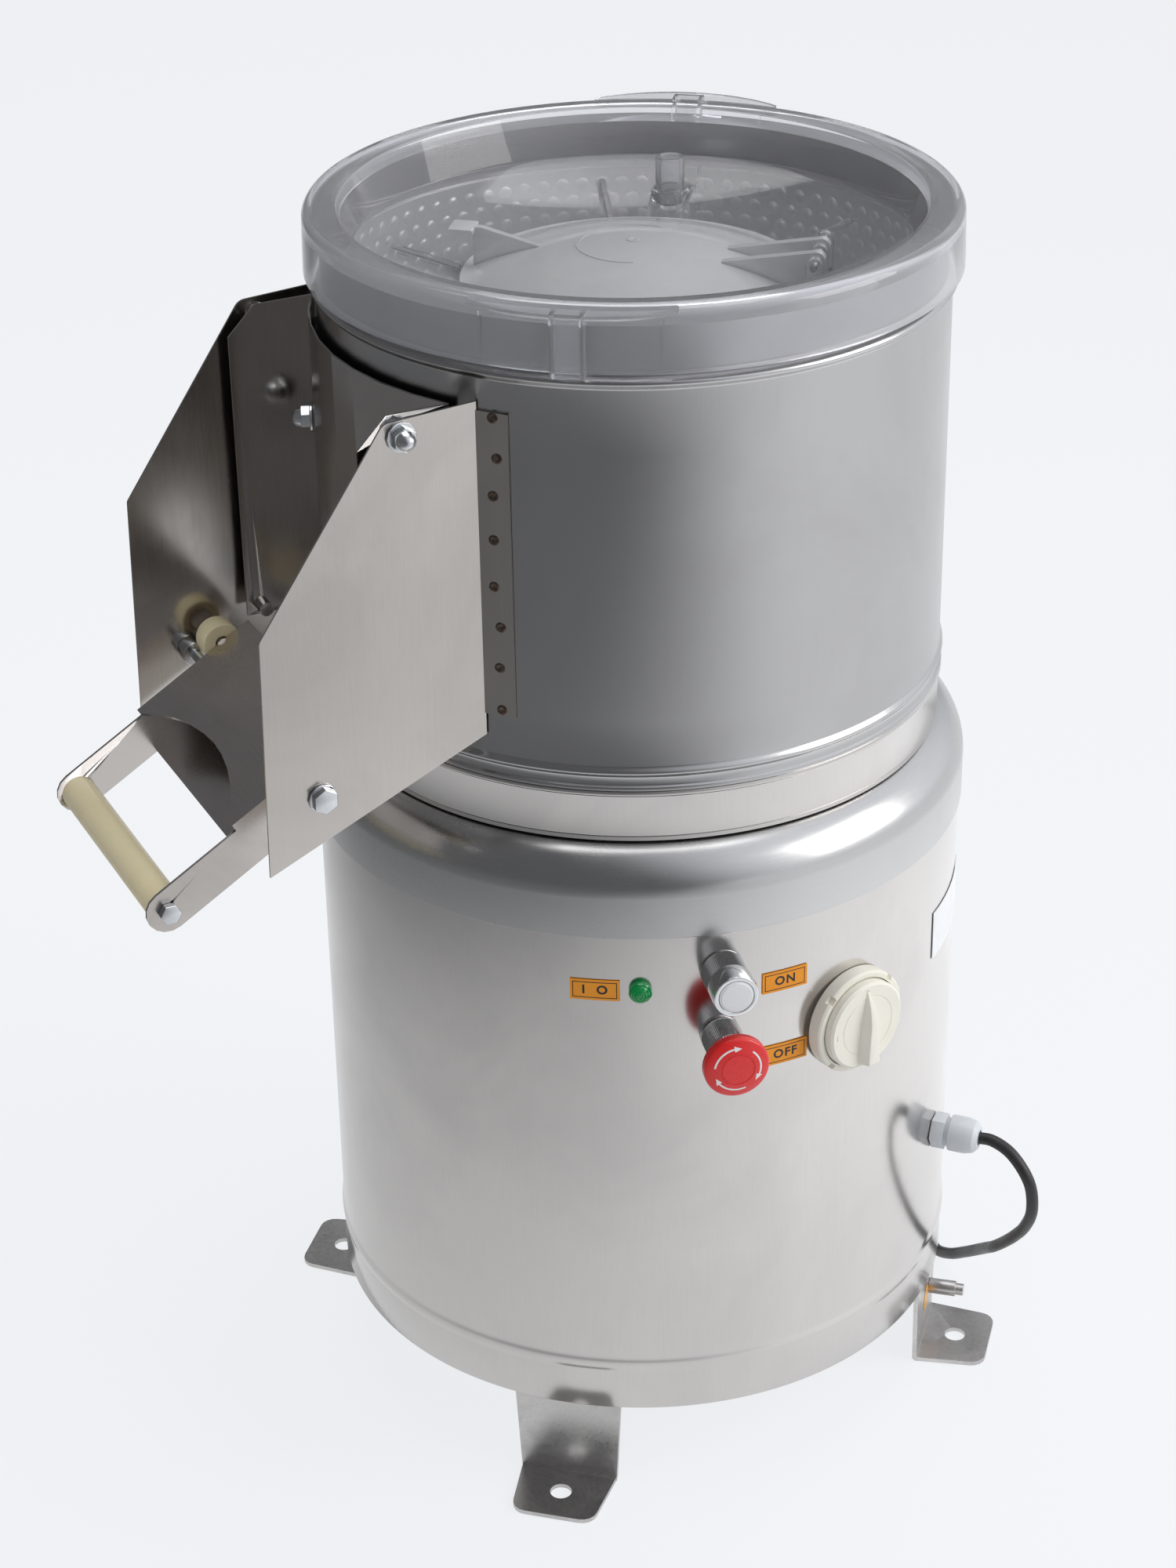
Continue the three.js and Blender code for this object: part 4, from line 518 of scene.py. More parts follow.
# Earth stud: a stainless stud welded to the right-hand foot with a spacer tube on it, and a bare round orange
# mark of printed film beside it.
bright_zinc = finish("bright_zinc", (0.70, 0.72, 0.74), (0.55, 0.56, 0.56), 0.2, 1.0, grain=(700, 700, 700),
                     grain_depth=0.15, patch_depth=0.4, patch_size=60)
round_faces = 50
dressed("earth_stud", "earth_bolt", plate_steel, 0.5, angle=round_faces)
orange_film = finish("orange_film", (0.80, 0.38, 0.06), (0.72, 0.33, 0.05), 0.4, grain_depth=0.04,
                     patch_depth=0.4, patch_size=60, bump=0.05)
mark_across, mark_height, mark_radius, mark_film = 1.9, 29.5, 8.9, 0.15
foot_face = wall(foot_reach, foot_azimuths["foot_right"], mark_height)
mark_place = foot_face @ Matrix.Translation((mark_across, 0, 0))
mark_outline = [
    (0, -mark_film / 3), (mark_radius, -mark_film / 3), (mark_radius, mark_film * 0.8),
    (mark_radius - 0.2, mark_film), (0, mark_film),
]
shown("earth_mark", turned(mark_outline, mark_place, 40), orange_film)

# Inside the housing: the base plate, the welded support plate with the bearing housing, two bearings and the
# main shaft, the painted motor, the cast pulleys with their V-belt, and the contactor.
cast_grey = finish("cast_grey", (0.13, 0.135, 0.14), (0.09, 0.085, 0.08), 0.55, 0.8, grain=(600, 600, 600),
                   grain_depth=0.5, patch_depth=0.5, patch_size=30, spread=0.2, bump=0.5, relief=0.0002)
motor_enamel = finish("motor_enamel", (0.10, 0.145, 0.18), (0.07, 0.10, 0.12), 0.42, grain=(500, 500, 500),
                      grain_depth=0.15, patch_depth=0.4, patch_size=25, spread=0.15, bump=0.3, relief=0.0001)
belt_rubber = finish("belt_rubber", (0.018, 0.018, 0.02), (0.04, 0.038, 0.036), 0.7, grain_depth=0.4,
                     patch_depth=0.5, patch_size=40, spread=0.15, bump=0.3, relief=0.0001)
case_plastic = finish("case_plastic", (0.62, 0.64, 0.66), (0.5, 0.5, 0.5), 0.45, grain=(1200, 1200, 1200),
                      grain_depth=0.08, patch_size=20, bump=0.2, relief=0.00005)
for node, material in (
    ("base_plate", plate_steel), ("support_plate", cast_grey), ("bearing_housing", cast_grey),
    ("bearing_lower", bright_zinc), ("bearing_upper", bright_zinc), ("main_shaft", bright_zinc),
    ("motor", motor_enamel), ("driven_pulley", cast_grey), ("drive_pulley", cast_grey),
    ("drive_belt", belt_rubber), ("contactor", case_plastic), ("shaft_seal", belt_rubber),
):
    wear(node, material)

# Waste pan: the collar between cap and drum, turned from stainless sheet, with a rolled lip that carries the
# drum; the flat spout welded to its back takes water and peelings to the drain.
pan_radius, pan_top, pan_floor = 189.3, 504, 471.3
pan_seat = 470.6
pan_outline = [
    (24, pan_floor), (pan_radius - 3, pan_floor), (pan_radius - 1.5, pan_seat), (pan_radius - 0.7, pan_seat),
    *arc(pan_radius - 2, pan_seat + 4, 2, -50, 0, 4), (pan_radius, pan_top - 4),
    (pan_radius + 0.5, pan_top - 3.1), (pan_radius + 1.3, pan_top - 2.6), (pan_radius + 1.6, pan_top - 1.6),
    (pan_radius + 1.3, pan_top - 0.4), (pan_radius + 0.8, pan_top), (pan_radius - 1.5, pan_top),
    (pan_radius - 1.5, pan_floor + 1.5), (24, pan_floor + 1.5),
]
shown("pan_collar", turned(pan_outline), satin_steel, replaces=["waste_pan"])
dressed("waste_outlet", "waste_spout", plate_steel, 0.3)

# Drum shell: brighter stainless sheet, rolled and polished. A lip and a bead at its foot seat it on the pan,
# a deeper bead at its neck carries the lid, and the window for the chute is cut through its left side.
drum_steel = finish("drum_steel", (0.56, 0.555, 0.555), (0.47, 0.455, 0.45), 0.22, 1.0,
                    grain=(1300, 1300, 30), grain_depth=0.06, patch_depth=0.4, patch_size=8, spread=0.05,
                    bump=0.04)
drum_radius, drum_sheet = 189.3, 1.2
drum_low, drum_high = 504.3, 790.7
window_low, window_high, window_half = 548, 714, 27
drum_outline = [
    (drum_radius - drum_sheet, drum_low), (drum_radius + 1.0, drum_low), (drum_radius + 1.5, drum_low + 0.6),
    (drum_radius + 1.6, drum_low + 1.6), (drum_radius + 1.3, drum_low + 2.6),
    (drum_radius + 0.3, drum_low + 3.4), (drum_radius, drum_low + 4.5),
    *swell(drum_radius, drum_low + 8, drum_low + 16, 2.0), (drum_radius, window_low),
    (drum_radius, window_high), *swell(drum_radius, 752, 762, 3.6), (drum_radius, drum_high),
    (drum_radius - drum_sheet, drum_high), (drum_radius - drum_sheet, window_high),
    (drum_radius - drum_sheet, window_low),
]
drum_form = turned(drum_outline, Matrix.Rotation(math.radians(0.5 * 360 / big_steps), 4, "Z"))
cut_out = []
for face in drum_form.faces:
    centre = face.calc_center_median()
    azimuth = math.degrees(math.atan2(centre.x, -centre.y))
    if window_low < centre.z < window_high and abs(azimuth + 90) < window_half:
        cut_out.append(face)
bmesh.ops.delete(drum_form, geom=cut_out, context="FACES")
rim = [line for line in drum_form.edges if len(line.link_faces) == 1]
bridged = {}
for line in rim:
    heights = sorted(round(end.co.z, 2) for end in line.verts)
    middle = (line.verts[0].co + line.verts[1].co) / 2
    key = (heights[0], heights[1], round(math.degrees(math.atan2(middle.x, -middle.y)), 1))
    bridged.setdefault(key, []).append(line)
for pair in bridged.values():
    if len(pair) == 2:
        first, second = pair
        near = sorted(first.verts, key=lambda end: (end.co.z, math.atan2(end.co.x, -end.co.y)))
        far = sorted(second.verts, key=lambda end: (end.co.z, math.atan2(end.co.x, -end.co.y)))
        drum_form.faces.new((near[0], near[1], far[1], far[0]))
shown("drum_sheet", drum_form, drum_steel, replaces=["drum_shell"])

# Rasp liners: three rolled stainless plates inside the drum. Rows of pressed pimples cover them and rub the
# peel off.
liner_steel = finish("liner_steel", (0.50, 0.49, 0.48), (0.40, 0.385, 0.375), 0.4, 1.0, grain=(500, 500, 500),
                     grain_depth=0.3, patch_depth=0.6, patch_size=16, spread=0.15, bump=0.2)
liner_outer, liner_sheet, liner_low, liner_high = 187.4, 1.5, 536, 757
liner_split = 1.2
liner_span = (360 - 2 * (window_half + liner_split)) / 3
pimple_pitch = 12.5


def growing_tree(name, inputs):
    """A Geometry Nodes tree with its inputs and one geometry out."""
    tree = bpy.data.node_groups.new(name, "GeometryNodeTree")
    tree.interface.new_socket("Geometry", in_out="OUTPUT", socket_type="NodeSocketGeometry")
    for label, kind in inputs:
        tree.interface.new_socket(label, in_out="INPUT", socket_type=f"NodeSocket{kind}")
    return tree


def pimple_tree():
    """Sets a staggered grid of small domes on the inside of a round wall."""
    tree = growing_tree("pimpled_wall", (
        ("Radius", "Float"), ("Start Angle", "Float"), ("Span", "Float"), ("Low", "Float"), ("High", "Float"),
        ("Columns", "Int"), ("Rows", "Int"), ("Pimple Radius", "Float"), ("Finish", "Material"),
    ))
    given = wired(tree, "NodeGroupInput").outputs
    grid = wired(tree, "GeometryNodeMeshGrid", {
        "Size X": 1, "Size Y": 1, "Vertices X": given["Columns"], "Vertices Y": given["Rows"],
    })
    here = wired(tree, "GeometryNodeInputPosition")
    parts = wired(tree, "ShaderNodeSeparateXYZ", {0: here.outputs[0]})
    order = wired(tree, "GeometryNodeInputIndex")
    column_step = reckoned(tree, "DIVIDE", 1.0, given["Columns"])
    row = reckoned(tree, "MODULO", order.outputs[0], given["Rows"])
    odd = reckoned(tree, "MODULO", row.outputs[0], 2.0)
    stagger = reckoned(tree, "MULTIPLY", odd.outputs[0], 0.5)
    stagger = reckoned(tree, "MULTIPLY", stagger.outputs[0], column_step.outputs[0])
    share = reckoned(tree, "ADD", parts.outputs["X"], 0.49)
    share = reckoned(tree, "ADD", share.outputs[0], stagger.outputs[0])
    angle = reckoned(tree, "MULTIPLY_ADD", share.outputs[0], given["Span"], given["Start Angle"])
    sine = reckoned(tree, "SINE", angle.outputs[0])
    cosine = reckoned(tree, "COSINE", angle.outputs[0])
    back = reckoned(tree, "MULTIPLY", cosine.outputs[0], -1.0)
    out = wired(tree, "ShaderNodeCombineXYZ", {"X": sine.outputs[0], "Y": back.outputs[0]})
    flat = wired(tree, "ShaderNodeVectorMath", {0: out.outputs[0], "Scale": given["Radius"]},
                 operation="SCALE")
    lift = wired(tree, "ShaderNodeMapRange", {
        "Value": parts.outputs["Y"], "From Min": -0.5, "From Max": 0.5, "To Min": given["Low"],
        "To Max": given["High"],
    })
    height = wired(tree, "ShaderNodeCombineXYZ", {"Z": lift.outputs[0]})
    spot = wired(tree, "ShaderNodeVectorMath", {0: flat.outputs[0], 1: height.outputs[0]}, operation="ADD")
    rolled = wired(tree, "GeometryNodeSetPosition",
                   {"Geometry": grid.outputs["Mesh"], "Position": spot.outputs[0]})
    dome = wired(tree, "GeometryNodeMeshUVSphere",
                 {"Segments": 10, "Rings": 6, "Radius": given["Pimple Radius"]})
    flattened = wired(tree, "GeometryNodeTransform",
                      {"Geometry": dome.outputs["Mesh"], "Scale": (1, 1, 0.28)})
    level = wired(tree, "ShaderNodeVectorMath", {0: here.outputs[0], 1: (1, 1, 0)}, operation="MULTIPLY")
    facing = wired(tree, "FunctionNodeAlignRotationToVector", {"Vector": level.outputs[0]}, axis="Z")
    kept = wired(tree, "GeometryNodeStoreNamedAttribute", {
        "Geometry": rolled.outputs[0], "Name": "facing", "Value": facing.outputs[0],
    }, data_type="QUATERNION", domain="POINT")
    turned_to = wired(tree, "GeometryNodeInputNamedAttribute", {"Name": "facing"}, data_type="QUATERNION")
    set_out = wired(tree, "GeometryNodeInstanceOnPoints", {
        "Points": kept.outputs[0], "Instance": flattened.outputs[0], "Rotation": turned_to.outputs[0],
    })
    real = wired(tree, "GeometryNodeRealizeInstances", {"Geometry": set_out.outputs[0]})
    smooth = wired(tree, "GeometryNodeSetShadeSmooth", {0: real.outputs[0]})
    coloured = wired(tree, "GeometryNodeSetMaterial",
                     {"Geometry": smooth.outputs[0], "Material": given["Finish"]})
    wired(tree, "NodeGroupOutput", {"Geometry": coloured.outputs[0]})
    return tree


def baked(thing):
    """The plain mesh that an object's modifiers or letters make."""
    bpy.context.view_layer.update()
    return bpy.data.meshes.new_from_object(thing.evaluated_get(bpy.context.evaluated_depsgraph_get()))


def grown(name, tree, values, body="machine"):
    """Runs a Geometry Nodes tree with sizes in millimetres, and keeps the result as a plain mesh."""
    holder = placed(name, bpy.data.meshes.new(name))
    modifier = holder.modifiers.new(name, "NODES")
    modifier.node_group = tree
    for entry in tree.interface.items_tree:
        if entry.item_type == "SOCKET" and entry.in_out == "INPUT" and entry.name in values:
            modifier[entry.identifier] = values[entry.name]
    made = baked(holder)
    bpy.data.objects.remove(holder)
    made.name = name
    made.transform(to_scene)
    piece = placed(name, made)
    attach(piece, body)
    return piece


def skinned(form, sections):
    """Closes a row of four-cornered sections into one skin, with both ends shut."""
    for near, far in zip(sections, sections[1:]):
        for i in range(4):
            form.faces.new((near[i], near[(i + 1) % 4], far[(i + 1) % 4], far[i]))
    form.faces.new(sections[0])
    form.faces.new(sections[-1])


def wall_sector(inner, outer, start, end, low, high, into=None, steps_per_turn=big_steps):
    """A sheet rolled to a round wall between two azimuths."""
    form = into or bmesh.new()
    count = max(3, math.ceil(steps_per_turn * (end - start) / 360))
    columns = []
    for k in range(count + 1):
        out = wall(0, start + (end - start) * k / count).col[2].to_3d()
        columns.append([
            form.verts.new(out * radius + Vector((0, 0, height)))
            for radius, height in ((inner, low), (outer, low), (outer, high), (inner, high))
        ])
    skinned(form, columns)
    return form


pimples = pimple_tree()
for number, side in enumerate(("front", "side", "back")):
    start = -90 + window_half + liner_split + liner_span * number
    end = start + liner_span - liner_split
    form = wall_sector(liner_outer - liner_sheet, liner_outer, start, end, liner_low, liner_high)
    shown(f"liner_{side}", form, liner_steel, replaces=[f"rasp_liner_{side}"])
    columns = round(math.radians(end - start) * liner_outer / pimple_pitch)
    rows = round((liner_high - liner_low) / (pimple_pitch * 0.93))
    grown(f"pimples_{side}", pimples, {
        "Radius": liner_outer - liner_sheet - 0.1, "Start Angle": math.radians(start),
        "Span": math.radians(end - start), "Low": float(liner_low + 10), "High": float(liner_high - 10),
        "Columns": columns, "Rows": rows, "Pimple Radius": 4.4, "Finish": liner_steel,
    })

# Abrasive disc: cast aluminium under a thick coat of silicon-carbide grit in resin, with three waves; a
# turned nut holds it on the shaft.
grit = finish("grit", (0.045, 0.047, 0.05), (0.09, 0.09, 0.09), 0.85, grain=(520, 520, 520), grain_depth=1.2,
              patch_depth=0.5, patch_size=260, spread=0.2, bump=1.0, relief=0.0012)
wear("abrasive_disc", grit)
wear("disc_nut", bright_zinc)

# Chute cheeks: two 1.5 mm stainless plates, each bent along the drum and spot-welded to it by a row of dots.
# They keep the mill's brushing, with smears and scratches.
cheek_steel = finish("cheek_steel", (0.61, 0.575, 0.54), (0.50, 0.475, 0.45), 0.2, 1.0,
                     grain=(1300, 1300, 22), patch_depth=0.6, bump=0.05)


def upright_between(line, x_low, x_high, y_low, y_high):
    """Whether an edge stands upright, is long, and lies in a strip on either side of the machine's middle."""
    ends = [end.co for end in line.verts]
    stands = abs(ends[0].z - ends[1].z) > 60 and (ends[0] - ends[1]).to_2d().length < 1
    return stands and all(x_low < end.x < x_high and y_low < abs(end.y) < y_high for end in ends)


def at_the_bend(line):
    return upright_between(line, -170, -145, 108, 114)


for side in ("near", "far"):
    dressed(f"cheek_{side}", f"chute_cheek_{side}", cheek_steel, 0.3, folds=at_the_bend, fold=1.2,
            plane_width=2.5)

weld_mark = finish("weld_mark", (0.13, 0.095, 0.08), (0.30, 0.24, 0.19), 0.4, 1.0, grain_depth=0.6,
                   patch_depth=0.8, patch_size=400, spread=0.2, bump=0.4, relief=0.0001)
weld_form = bmesh.new()
weld_spots = (
    (51.0, 731), (50.4, 707), (51.3, 684), (51.4, 657), (51.6, 628), (50.6, 603), (51.0, 577), (50.8, 550),
)
weld_outline = [(0, 0.12), (1.2, 0.08), (1.7, 0.32), (2.3, 0.4), (2.9, 0.28), (3.3, 0.02), (3.3, -0.2),
                (0, -0.2)]
flange_face = 191.1
for azimuth, height in weld_spots:
    turned(weld_outline, wall(flange_face, -azimuth, height), 24, weld_form)
for azimuth, height in weld_spots:
    turned(weld_outline, wall(flange_face, azimuth - 180, height), 24, weld_form)
shown("spot_welds", weld_form, weld_mark)

# Door seal: a black rubber frame that lies on the drum, round the window. It is of the same matt rubber as
# the drive belt.
wear("door_seal", belt_rubber)

# Door: a stainless tray that closes the window. Its panel is rolled to the drum, both sides are folded out,
# and it hangs on a welded pin at the far cheek and on a bolt at the near one. Two dome nuts hold the rasp
# plate behind it.
door_steel = finish("door_steel", (0.56, 0.53, 0.505), (0.42, 0.395, 0.38), 0.18, 1.0, grain=(1300, 1300, 22),
                    grain_depth=0.08, patch_depth=0.5, patch_size=10, spread=0.08, bump=0.04)


def at_the_tray_fold(line):
    return upright_between(line, -172, -160, 98, 102.5)


dressed("door_tray", "chute_door", door_steel, 0.25, "door", at_the_tray_fold, 1.0)
for side in ("far", "near"):
    dressed(f"door_nut_{side}", f"door_dome_nut_{side}", bright_zinc, 0.5, "door",
            angle=round_faces)
dressed("hinge_bolt_near", "hinge_bolt", bright_zinc, 0.4, angle=round_faces)

# Hand lever: a channel folded from 2 mm stainless, with an arched notch in its plate; the grip is a plastic
# tube on a bolt, and a plastic roller turns outside each arm.
lever_slope = math.radians(30.3)
pivot_x, pivot_z = -258.3, 516
lever_half, lever_sheet_top = 83, 5.2
lever_place = Matrix.Translation((pivot_x, 0, pivot_z)) @ Matrix.Rotation(-lever_slope, 4, "Y")
lever_away = lever_place.inverted()
lever_steel = finish("lever_steel", (0.63, 0.59, 0.56), (0.48, 0.44, 0.415), 0.26, 1.0, grain=(600, 30, 600),
                     grain_depth=0.12, patch_depth=0.5, patch_size=14, bump=0.06)


def along_the_arm(line):
    local = [lever_away @ end.co for end in line.verts]
    level = all(abs(end.z - lever_sheet_top) < 0.2 and abs(abs(end.y) - lever_half) < 0.2 for end in local)
    return level and (local[0] - local[1]).length > 40


dressed("lever_frame", "lever_channel", lever_steel, 0.35, "lever", along_the_arm, 1.6)
cream_plastic = finish("cream_plastic", (0.93, 0.82, 0.53), (0.86, 0.74, 0.46), 0.34, grain=(350, 350, 350),
                       grain_depth=0.05, patch_depth=0.5, patch_size=25, spread=0.12, bump=0.15,
                       relief=0.0001, Subsurface_Weight=0.15, Subsurface_Scale=0.003)
along_y = Matrix.Rotation(-math.pi / 2, 4, "X")
grip_back, grip_drop = 109.7, 12.9
rod_bore, grip_radius, grip_half = 4.3, 10.8, 80.7
grip_place = lever_place @ Matrix.Translation((-grip_back, 0, -grip_drop)) @ along_y
grip_outline = eased([
    (rod_bore, -grip_half), (grip_radius, -grip_half), (grip_radius, grip_half), (rod_bore, grip_half),
], 1.2)
shown("grip_tube", turned(grip_outline, grip_place, 64), cream_plastic, "lever", ["lever_grip"])
dressed("grip_bolt", "grip_rod", bright_zinc, 0.5, "lever", angle=round_faces)
roller_forward, roller_rise, roller_radius, roller_sink_radius = 17, 2.8, 12.5, 8
roller_from, roller_to, roller_sink = 84, 98.5, 4
for name, side in (("far", 1), ("near", -1)):
    roller_place = lever_place @ Matrix.Translation((roller_forward, 0, roller_rise)) @ along_y
    roller_outline = eased([
        (rod_bore, side * roller_from), (roller_radius, side * roller_from),
        (roller_radius, side * roller_to), (roller_sink_radius, side * roller_to),
        (roller_sink_radius, side * (roller_to - roller_sink)), (rod_bore, side * (roller_to - roller_sink)),
    ], 0.9)
    shown(f"roller_{name}", turned(roller_outline, roller_place, 64), cream_plastic, f"roller_{name}",
          [f"lever_roller_{name}"])
    dressed(f"pivot_bolt_{name}", f"lever_bolt_{name}", bright_zinc, 0.5, angle=round_faces)

# Lid: one clear polycarbonate moulding that drops over the drum. It has a deep well with radial ribs, a short
# filling nipple, two finger lips with a hollow post under each, and three lugs for the flap.
clear_lid = finish("clear_lid", (0.93, 0.93, 0.955), (0.91, 0.905, 0.94), 0.05, grain=(200, 200, 200),
                   grain_depth=0.02, patch_depth=0.5, patch_size=14, spread=0.05, bump=0.02, relief=0.0001,
                   Transmission_Weight=0.87, IOR=1.45)
lid_top, lid_low, lid_wall = 801, 763.6, 3.5
lid_foot_radius, lid_bore, lid_edge = 196, 192.5, 6
rim_depth, rim_inner = 10, 175.75
mouth_radius, mouth_height = 97, 747
floor_rim_radius, floor_rim_height = 153, 762
lid_profile = [
    (lid_foot_radius, lid_low + 0.3), (lid_foot_radius, lid_low + 2.4),
    *arc(drum_radius, lid_top - lid_edge, lid_edge, 0, 90, 8), (rim_inner + 1.75, lid_top),
    *arc(rim_inner + 0.05, lid_top - 2.4, 2, 80, 160, 4), (168.6, 773.5), (166.5, 771), (160, 768),
    (floor_rim_radius, floor_rim_height), (mouth_radius, mouth_height),
    (mouth_radius, mouth_height - lid_wall), (floor_rim_radius, floor_rim_height - lid_wall), (160.5, 764.2),
    (169.5, 768.2), (171.5, 770.25), (rim_inner, lid_top - rim_depth), (lid_bore, lid_top - rim_depth),
    (lid_bore, lid_low), (lid_foot_radius - 0.4, lid_low),
]
floor_slope = (floor_rim_height - mouth_height) / (floor_rim_radius - mouth_radius)


def floor_height(radius):
    return mouth_height + (radius - mouth_radius) * floor_slope


def prism(outline, depth, place, into=None):
    """Pushes a flat outline out along its place's Z."""
    form = into or bmesh.new()
    low = [form.verts.new(place @ Vector((x, y, 0))) for x, y in outline]
    high = [form.verts.new(place @ Vector((x, y, depth))) for x, y in outline]
    form.faces.new(low[::-1])
    form.faces.new(high)
    for i in range(len(outline)):
        j = (i + 1) % len(outline)
        form.faces.new((low[i], low[j], high[j], high[i]))
    return form


def spoke(azimuth):
    """A place on the drum's axis with X out along an azimuth and Z up."""
    return Matrix.Rotation(math.radians(azimuth) - math.pi / 2, 4, "Z")


upright = Matrix.Rotation(math.pi / 2, 4, "X")
lid_extras = []
rib_count, rib_from, rib_to, rib_proud, rib_width, first_rib = 5, 106, 148, 2.5, 3, 161
sink = 1.7
for number in range(rib_count):
    azimuth = first_rib - 360 / rib_count * number
    rib = eased([
        (rib_from, floor_height(rib_from) - sink), (rib_to, floor_height(rib_to) - sink),
        (rib_to, floor_height(rib_to) + rib_proud), (rib_from, floor_height(rib_from) + rib_proud),
    ], 1.2)
    rib_place = spoke(azimuth) @ Matrix.Translation((0, rib_width / 2, 0)) @ upright
    lid_extras.append(prism(rib, rib_width, rib_place))
flap_azimuth = 53
hinge_reach, hinge_height = 111, 770.7
lug_foot = floor_height(hinge_reach) - sink
lug_radius, lug_width, pin_bore = 5, 6, 2.3
hinge_place = spoke(flap_azimuth) @ Matrix.Translation((hinge_reach, 0, hinge_height))
for place in (-24, 0, 24):
    outline = [
        (-lug_radius, lug_foot - hinge_height), (lug_radius, lug_foot - hinge_height),
        *arc(0, 0, lug_radius, 0, 180, 12),
    ]
    lug_place = hinge_place @ Matrix.Translation((0, place + lug_width / 2, 0)) @ upright
    lid_extras.append(prism(outline, lug_width, lug_place))
nipple_reach, nipple_azimuth, nipple_bore, nipple_top = 133, 143.3, 6, 782
nipple_place = spoke(nipple_azimuth) @ Matrix.Translation((nipple_reach, 0, 0))
nipple_foot = floor_height(nipple_reach) - sink
nipple = [
    (nipple_bore, nipple_foot - 8), (12, nipple_foot), (12, nipple_foot + 5), (11.2, nipple_foot + 6.2),
    (9.6, nipple_foot + 6.6), (9, nipple_foot + 8), (9, nipple_top - 0.8), (8.4, nipple_top),
    (nipple_bore + 0.6, nipple_top), (nipple_bore, nipple_top - 0.6),
]
lid_extras.append(turned(nipple, nipple_place, 40))
lip_half, lip_proud, lip_sheet, lip_steps = 17.5, 12, 3.2, 24
lip_line = drum_radius + lid_edge
lip_level = Matrix.Translation((0, 0, lid_top - lip_sheet))
for azimuth in (-37, 143):
    outer, inner = [], []
    for k in range(lip_steps + 1):
        share = 2 * k / lip_steps - 1
        for line, radius in ((outer, lip_line + lip_proud * (1 - share ** 2)), (inner, lip_line - 5.3)):
            spot = wall(radius, azimuth + lip_half * share).translation
            line.append((spot.x, spot.y))
    lid_extras.append(prism(eased(outer + inner[::-1], 0.2, 1), lip_sheet, lip_level))
    for turn in (-15, 15):
        ridge_place = spoke(azimuth + turn) @ Matrix.Translation((lip_line - 0.7, 0, lid_low + 1.4))
        lid_extras.append(prism([(0, -0.7), (1.7, -0.7), (1.7, 0.7), (0, 0.7)], 30, ridge_place))
    post = spoke(azimuth) @ Matrix.Translation((lip_line - 1.1, 0, lid_low + 0.1))
    walls = [(0, -9.5), (10.6, -9.5), (10.6, 9.5), (0, 9.5), (0, 7), (8.1, 7), (8.1, -7), (0, -7)]
    lid_extras.append(prism(walls, 35.5, post))


def welded(name, base, extras, cuts=()):
    """Joins closed forms into one, and takes the cuts out of it."""

    def held(form, label):
        bmesh.ops.recalc_face_normals(form, faces=form.faces)
        mesh = bpy.data.meshes.new(label)
        form.to_mesh(mesh)
        form.free()
        return placed(label, mesh)

    body = held(base, name)
    tools = [(held(form, f"{name}_tool"), "UNION") for form in extras]
    tools += [(held(form, f"{name}_tool"), "DIFFERENCE") for form in cuts]
    for tool, operation in tools:
        step = body.modifiers.new(operation, "BOOLEAN")
        step.operation = operation
        step.solver = "EXACT"
        step.object = tool
    made = baked(body)
    for block in [body, *(tool for tool, operation in tools)]:
        bpy.data.objects.remove(block)
    form = bmesh.new()
    form.from_mesh(made)
    bpy.data.meshes.remove(made)
    return form


def bore(radius, low, high, place, steps):
    """A plain rod that cuts a hole."""
    return turned([(0, low), (radius, low), (radius, high), (0, high)], place, steps)


pin_reach = 32
lid_cuts = [
    bore(nipple_bore, mouth_height - 7, nipple_top + 8, nipple_place, 40),
    bore(pin_bore, -pin_reach, pin_reach, hinge_place @ along_y, 20),
]
lid_form = welded("lid", turned(lid_profile), lid_extras, lid_cuts)
shown("clear_lid", lid_form, clear_lid, "lid", ["lid"], angle=30, outward=False)
wear("flap_pin", bright_zinc)

# Loading flap: a milky polypropylene dome over the mouth of the lid, with two gussets on its hinge, a finger
# fin at the other side, and a raised arc and gate mark from its mould.
milky = finish("milky", (0.74, 0.745, 0.75), (0.66, 0.665, 0.675), 0.12, grain=(220, 220, 220),
               grain_depth=0.04, patch_depth=0.5, patch_size=18, spread=0.06, bump=0.03, relief=0.0001,
               Transmission_Weight=0.45, IOR=1.49)
flap_top, flap_sheet, flap_radius, dome_radius = 773, 2.5, 104, 99
rim_rise = 3
rim_height = floor_height(flap_radius) + 0.3
dome_rise = flap_top - rim_height - rim_rise
dome_sphere = (dome_radius ** 2 + dome_rise ** 2) / (2 * dome_rise)
dome_angle = math.degrees(math.asin(dome_radius / dome_sphere))
dome_centre = flap_top - dome_sphere


def dome_height(radius):
    return dome_centre + math.sqrt(dome_sphere ** 2 - radius ** 2)


